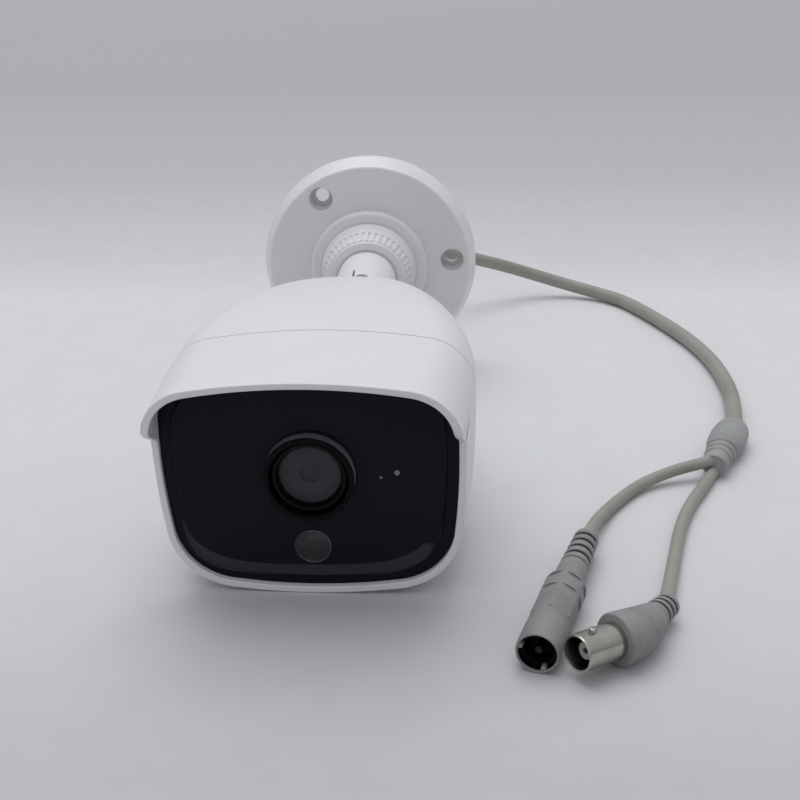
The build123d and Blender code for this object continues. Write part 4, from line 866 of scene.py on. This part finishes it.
def boot_radius(run):
    """Half width of the boot at a run: rounded edge, taper with shallow rings, ribbed relief."""
    if run < BOOT_EDGE:
        return 6.35 + 0.55 * math.sqrt(1.0 - (1.0 - run / BOOT_EDGE) ** 2)
    if run < BOOT_RELIEF:
        body = 6.95 - 0.0068 * (run - BOOT_EDGE) ** 2 - 0.045 * (run - BOOT_EDGE)
        return body - 0.22 * max(0.0, math.cos(math.tau * run / BOOT_RING_PITCH)) ** 8
    share = (run - BOOT_RELIEF) / (BOOT_END - BOOT_RELIEF)
    return 2.9 - 0.5 * share + (1.1 - 0.2 * share) * rib(BOOT_RIBS * share)


class CAMERA_OT_video_socket(Operator):
    """Build the video socket: bent boot, bayonet barrel with studs, insulator and contact"""

    bl_idname = "camera_part.video_socket"
    bl_label = "Video socket"

    def execute(self, context):
        steps = context.scene.camera_sizes.turn_steps
        runs = [0.0, 0.1, 0.25, 0.5, BOOT_EDGE]
        runs += [BOOT_EDGE + BOOT_STEP * k for k in range(1, BOOT_STEPS + 1)]
        pitch = (BOOT_END - BOOT_RELIEF) / BOOT_RIBS
        # stretches in the gaps between the ribs take painted shade
        gaps = [
            k for k, run in enumerate(runs)
            if run > BOOT_RELIEF and gap((run - BOOT_RELIEF + BOOT_STEP / 2) / pitch)
        ]
        boot = swept([(boot_place(run), boot_radius(run), boot_radius(run)) for run in runs], steps, gaps)
        set_piece(
            "boot", boot, VIDEO_AT, "grey_moulding", "base", ["video_boot"], 40.0,
            ["painted_gap_shade"],
        )
        barrel = turned([
            (4.1, 16.4), (4.8, 15.2), (4.8, 27.9), (4.85, 28.2), (4.75, 28.45), (4.45, 28.5), (4.2, 28.4),
            (4.1, 28.0), (4.1, 16.4),
        ], steps)
        studs = [
            moved(bar(0.95, 4.4, 5.8, 28, 0.2), (0, 0, 23.9), Matrix.Rotation(math.radians(a), 4, "X"))
            for a in (-90, 90)
        ]
        shell = joined([barrel] + studs)
        set_piece("video_barrel", shell, VIDEO_AT, "nickel", "base", ["video_jack_shell"])
        # A black disc closes the bottom of the barrel: painted shade deep in the bore.
        floor = turned([(4.15, 18.0), (4.15, 18.5), (0, 18.5), (0, 18.0), (4.15, 18.0)], steps)
        set_piece("painted_shade_floor", floor, VIDEO_AT, "black_liner_and_painted_shade", "base")
        # A darker copy of the nickel lines the inside of the barrel: painted shade on its inner wall.
        sleeve = turned([(4.12, 18.4), (4.04, 18.4), (4.04, 27.9), (4.12, 27.9), (4.12, 18.4)], steps)
        set_piece("painted_shade_sleeve", sleeve, VIDEO_AT, "painted_shade_nickel", "base")
        insulator = turned([
            (0.8, 18.5), (2.3, 18.5), (2.3, 25.6), (2.1, 25.95), (1.0, 26.0), (0.8, 25.8), (0.8, 18.5),
        ], steps)
        set_piece(
            "insulator", insulator, VIDEO_AT, "insulator", "base", ["video_jack_dielectric"]
        )
        # The contact takes near-black metal: painted shade deep in the insulator.
        contact = turned([
            (0.45, 19.0), (0.75, 19.0), (0.75, 25.4), (0.6, 25.5), (0.45, 25.4), (0.45, 19.0),
        ], 32)
        set_piece("contact", contact, VIDEO_AT, "pin_painted_shade", "base", ["video_jack_contact"])
        return {"FINISHED"}


# Sections of the splitter, as (station, half width) in millimetres, and its greatest half height
SPLIT_OVALS = (
    (0.0, 3.6), (0.5, 4.1), (1.4, 4.7), (3.0, 5.5), (6.0, 6.2), (10.0, 6.5), (15.0, 6.45), (19.0, 6.2),
    (21.5, 5.7), (23.6, 5.3), (24.0, 4.5), (25.3, 4.5), (25.7, 5.15), (27.4, 4.95), (27.8, 4.2), (29.1, 4.2),
    (29.5, 4.85), (31.2, 4.7), (31.6, 4.0), (32.9, 4.0), (33.3, 4.6), (36.8, 4.45), (37.5, 4.0),
)
SPLIT_HEIGHT = 4.7


class CAMERA_OT_splitter(Operator):
    """Build the splitter of the lead"""

    bl_idname = "camera_part.splitter"
    bl_label = "Splitter"

    def execute(self, context):
        steps = context.scene.camera_sizes.turn_steps
        sections = [
            (Matrix.Translation((0, 0, z * MM)), wide, min(SPLIT_HEIGHT, 0.62 * wide + 1.2))
            for z, wide in SPLIT_OVALS
        ]
        # The splitter takes a lighter copy of the grey of the sockets: painted light on it.
        set_piece(
            "splitter", swept(sections, steps), SPLIT_AT, "lit_moulding", "base",
            ["cable_splitter"], 40.0,
        )
        return {"FINISHED"}


class CAMERA_OT_leads(Operator):
    """Lay the main lead and its two branches"""

    bl_idname = "camera_part.leads"
    bl_label = "Leads"

    def execute(self, context):
        sizes = context.scene.camera_sizes
        main = lead_curve("main_lead", MAIN_ROUTE, sizes.lead_radius)
        power = lead_curve("power_branch", POWER_ROUTE, sizes.branch_radius)
        video = lead_curve("video_branch", VIDEO_ROUTE, sizes.branch_radius)
        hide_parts("main_cable")
        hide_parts("power_lead")
        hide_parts("video_lead")
        return {"FINISHED"}


# Stage: half side of the table in metres, and the light and shade painted on it along y
TABLE_HALF = 4.0
TABLE_PAINTED_LIGHT = (
    (-0.173, 0.72), (-0.116, 0.83), (-0.061, 0.89), (0.037, 0.95), (0.20, 0.96), (0.30, 0.83), (0.533, 0.67),
    (1.1, 0.585),
)

# Colours of the sky at the horizon and from a height upwards
SKY_LOW = (0.262, 0.267, 0.28)
SKY_HIGH = (0.715, 0.727, 0.758)
SKY_TOP = 0.9

# Soft light from above, with its spread in degrees
SUN_ENERGY = 1.08
SUN_SPREAD = 50
SUN_COLOUR = (0.97, 0.98, 1.0)
SUN_DIRECTION = (0.12, -0.29, -1.0)

# View: its lens, sensor and spot in millimetres, its turns in degrees
VIEW_LENS = 54.13
VIEW_SENSOR = 36.0
VIEW_SPOT = (32.37, -387.23, 170.61)
VIEW_TURNS = (("Z", 2.1426), ("X", -20.9365), ("Y", 0.7785))


def table_finish(colour):
    """Paper of the table, with shade painted on it that darkens it towards the front and the back."""
    material = finish("table_paper", colour, 0.6, cover=0.04, marks=3.0, relief=0.02)
    tree = material.node_tree
    base = tree.nodes["Principled BSDF"].inputs["Base Color"]
    split = tree.nodes.new("ShaderNodeSeparateXYZ")
    tree.links.new(tree.nodes.new("ShaderNodeTexCoord").outputs["Object"], split.inputs["Vector"])
    near, far = TABLE_PAINTED_LIGHT[0][0], TABLE_PAINTED_LIGHT[-1][0]
    ramp = tree.nodes.new("ShaderNodeValToRGB")
    tree.links.new(spread(tree, split.outputs["Y"], near, far), ramp.inputs["Fac"])
    stops = ramp.color_ramp.elements
    while len(stops) < len(TABLE_PAINTED_LIGHT):
        stops.new(0.5)
    for stop, (y, _) in zip(stops, TABLE_PAINTED_LIGHT):
        stop.position = (y - near) / (far - near)
    for stop, (_, tone) in zip(stops, TABLE_PAINTED_LIGHT):
        stop.color = (tone, tone, tone, 1.0)
    painted_shading = tree.nodes.new("ShaderNodeMix")
    painted_shading.data_type = "RGBA"
    painted_shading.blend_type = "MULTIPLY"
    painted_shading.inputs["Factor"].default_value = 1.0
    tree.links.new(base.links[0].from_socket, painted_shading.inputs["A"])
    tree.links.new(ramp.outputs["Color"], painted_shading.inputs["B"])
    tree.links.new(painted_shading.outputs["Result"], base)
    return material


class CAMERA_OT_stage(Operator):
    """Set the table, the sky, the soft light and the view"""

    bl_idname = "camera_part.stage"
    bl_label = "Stage"

    def execute(self, context):
        scene = context.scene
        bm = bmesh.new()
        bmesh.ops.create_grid(bm, x_segments=1, y_segments=1, size=TABLE_HALF)
        mesh = bpy.data.meshes.new("table")
        bm.to_mesh(mesh)
        bm.free()
        mesh.materials.append(table_finish(tuple(scene.camera_colours.table)))
        table = bpy.data.objects.new("table", mesh)
        scene.collection.objects.link(table)
        world = bpy.data.worlds.new("studio")
        world.use_nodes = True
        sky = world.node_tree
        split = sky.nodes.new("ShaderNodeSeparateXYZ")
        sky.links.new(sky.nodes.new("ShaderNodeTexCoord").outputs["Generated"], split.inputs["Vector"])
        tone = spread(sky, split.outputs["Z"], 0.0, SKY_TOP)
        glow = sky.nodes["Background"].inputs
        sky.links.new(blended(sky, tone, SKY_LOW, SKY_HIGH), glow["Color"])
        glow["Strength"].default_value = 1.0
        scene.world = world
        light = bpy.data.lights.new("soft_sky", "SUN")
        light.energy = SUN_ENERGY
        light.angle = math.radians(SUN_SPREAD)
        light.color = SUN_COLOUR
        lamp = bpy.data.objects.new("soft_sky", light)
        lamp.rotation_euler = Vector(SUN_DIRECTION).to_track_quat("-Z", "Y").to_euler()
        scene.collection.objects.link(lamp)
        data = bpy.data.cameras.new("view")
        data.sensor_width = VIEW_SENSOR
        data.lens = VIEW_LENS
        data.clip_start = 0.01
        camera = bpy.data.objects.new("view", data)
        turn = Matrix.Identity(3)
        for axis, degrees in VIEW_TURNS:
            turn = turn @ Matrix.Rotation(math.radians(degrees), 3, axis)
        right, ahead, above = turn.col
        place = Matrix((right, above, -ahead)).transposed().to_4x4()
        place.translation = Vector(VIEW_SPOT) * MM
        camera.matrix_world = place
        scene.collection.objects.link(camera)
        scene.camera = camera
        scene.view_settings.view_transform = "Standard"
        return {"FINISHED"}


class CAMERA_PT_parts(Panel):
    """Pieces of the camera and their sizes"""

    bl_label = "Bullet Camera"
    bl_idname = "CAMERA_PT_parts"
    bl_space_type = "VIEW_3D"
    bl_region_type = "UI"
    bl_category = "Camera"

    def draw(self, context):
        layout = self.layout
        for operator in OPERATORS:
            layout.operator(operator.bl_idname)
        for group in (context.scene.camera_sizes, context.scene.camera_colours):
            for name in group.__annotations__:
                layout.prop(group, name)


OPERATORS = (
    CAMERA_OT_finishes, CAMERA_OT_shells, CAMERA_OT_lens, CAMERA_OT_lamp, CAMERA_OT_spots,
    CAMERA_OT_power_socket, CAMERA_OT_video_socket, CAMERA_OT_splitter, CAMERA_OT_leads, CAMERA_OT_stage,
)
CLASSES = (CameraColours, CameraSizes, *OPERATORS, CAMERA_PT_parts)


def register():
    """Add the classes and the settings."""
    for cls in CLASSES:
        bpy.utils.register_class(cls)
    bpy.types.Scene.camera_colours = PointerProperty(type=CameraColours)
    bpy.types.Scene.camera_sizes = PointerProperty(type=CameraSizes)


def unregister():
    """Take the settings and the classes away."""
    del bpy.types.Scene.camera_sizes
    del bpy.types.Scene.camera_colours
    for cls in reversed(CLASSES):
        bpy.utils.unregister_class(cls)


def main():
    """Build every piece in order."""
    register()
    bpy.ops.camera_part.finishes()
    bpy.ops.camera_part.shells()
    bpy.ops.camera_part.lens()
    bpy.ops.camera_part.lamp()
    bpy.ops.camera_part.spots()
    bpy.ops.camera_part.power_socket()
    bpy.ops.camera_part.video_socket()
    bpy.ops.camera_part.splitter()
    bpy.ops.camera_part.leads()
    bpy.ops.camera_part.stage()
    bpy.context.view_layer.update()
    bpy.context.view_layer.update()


if __name__ == "__main__":
    main()
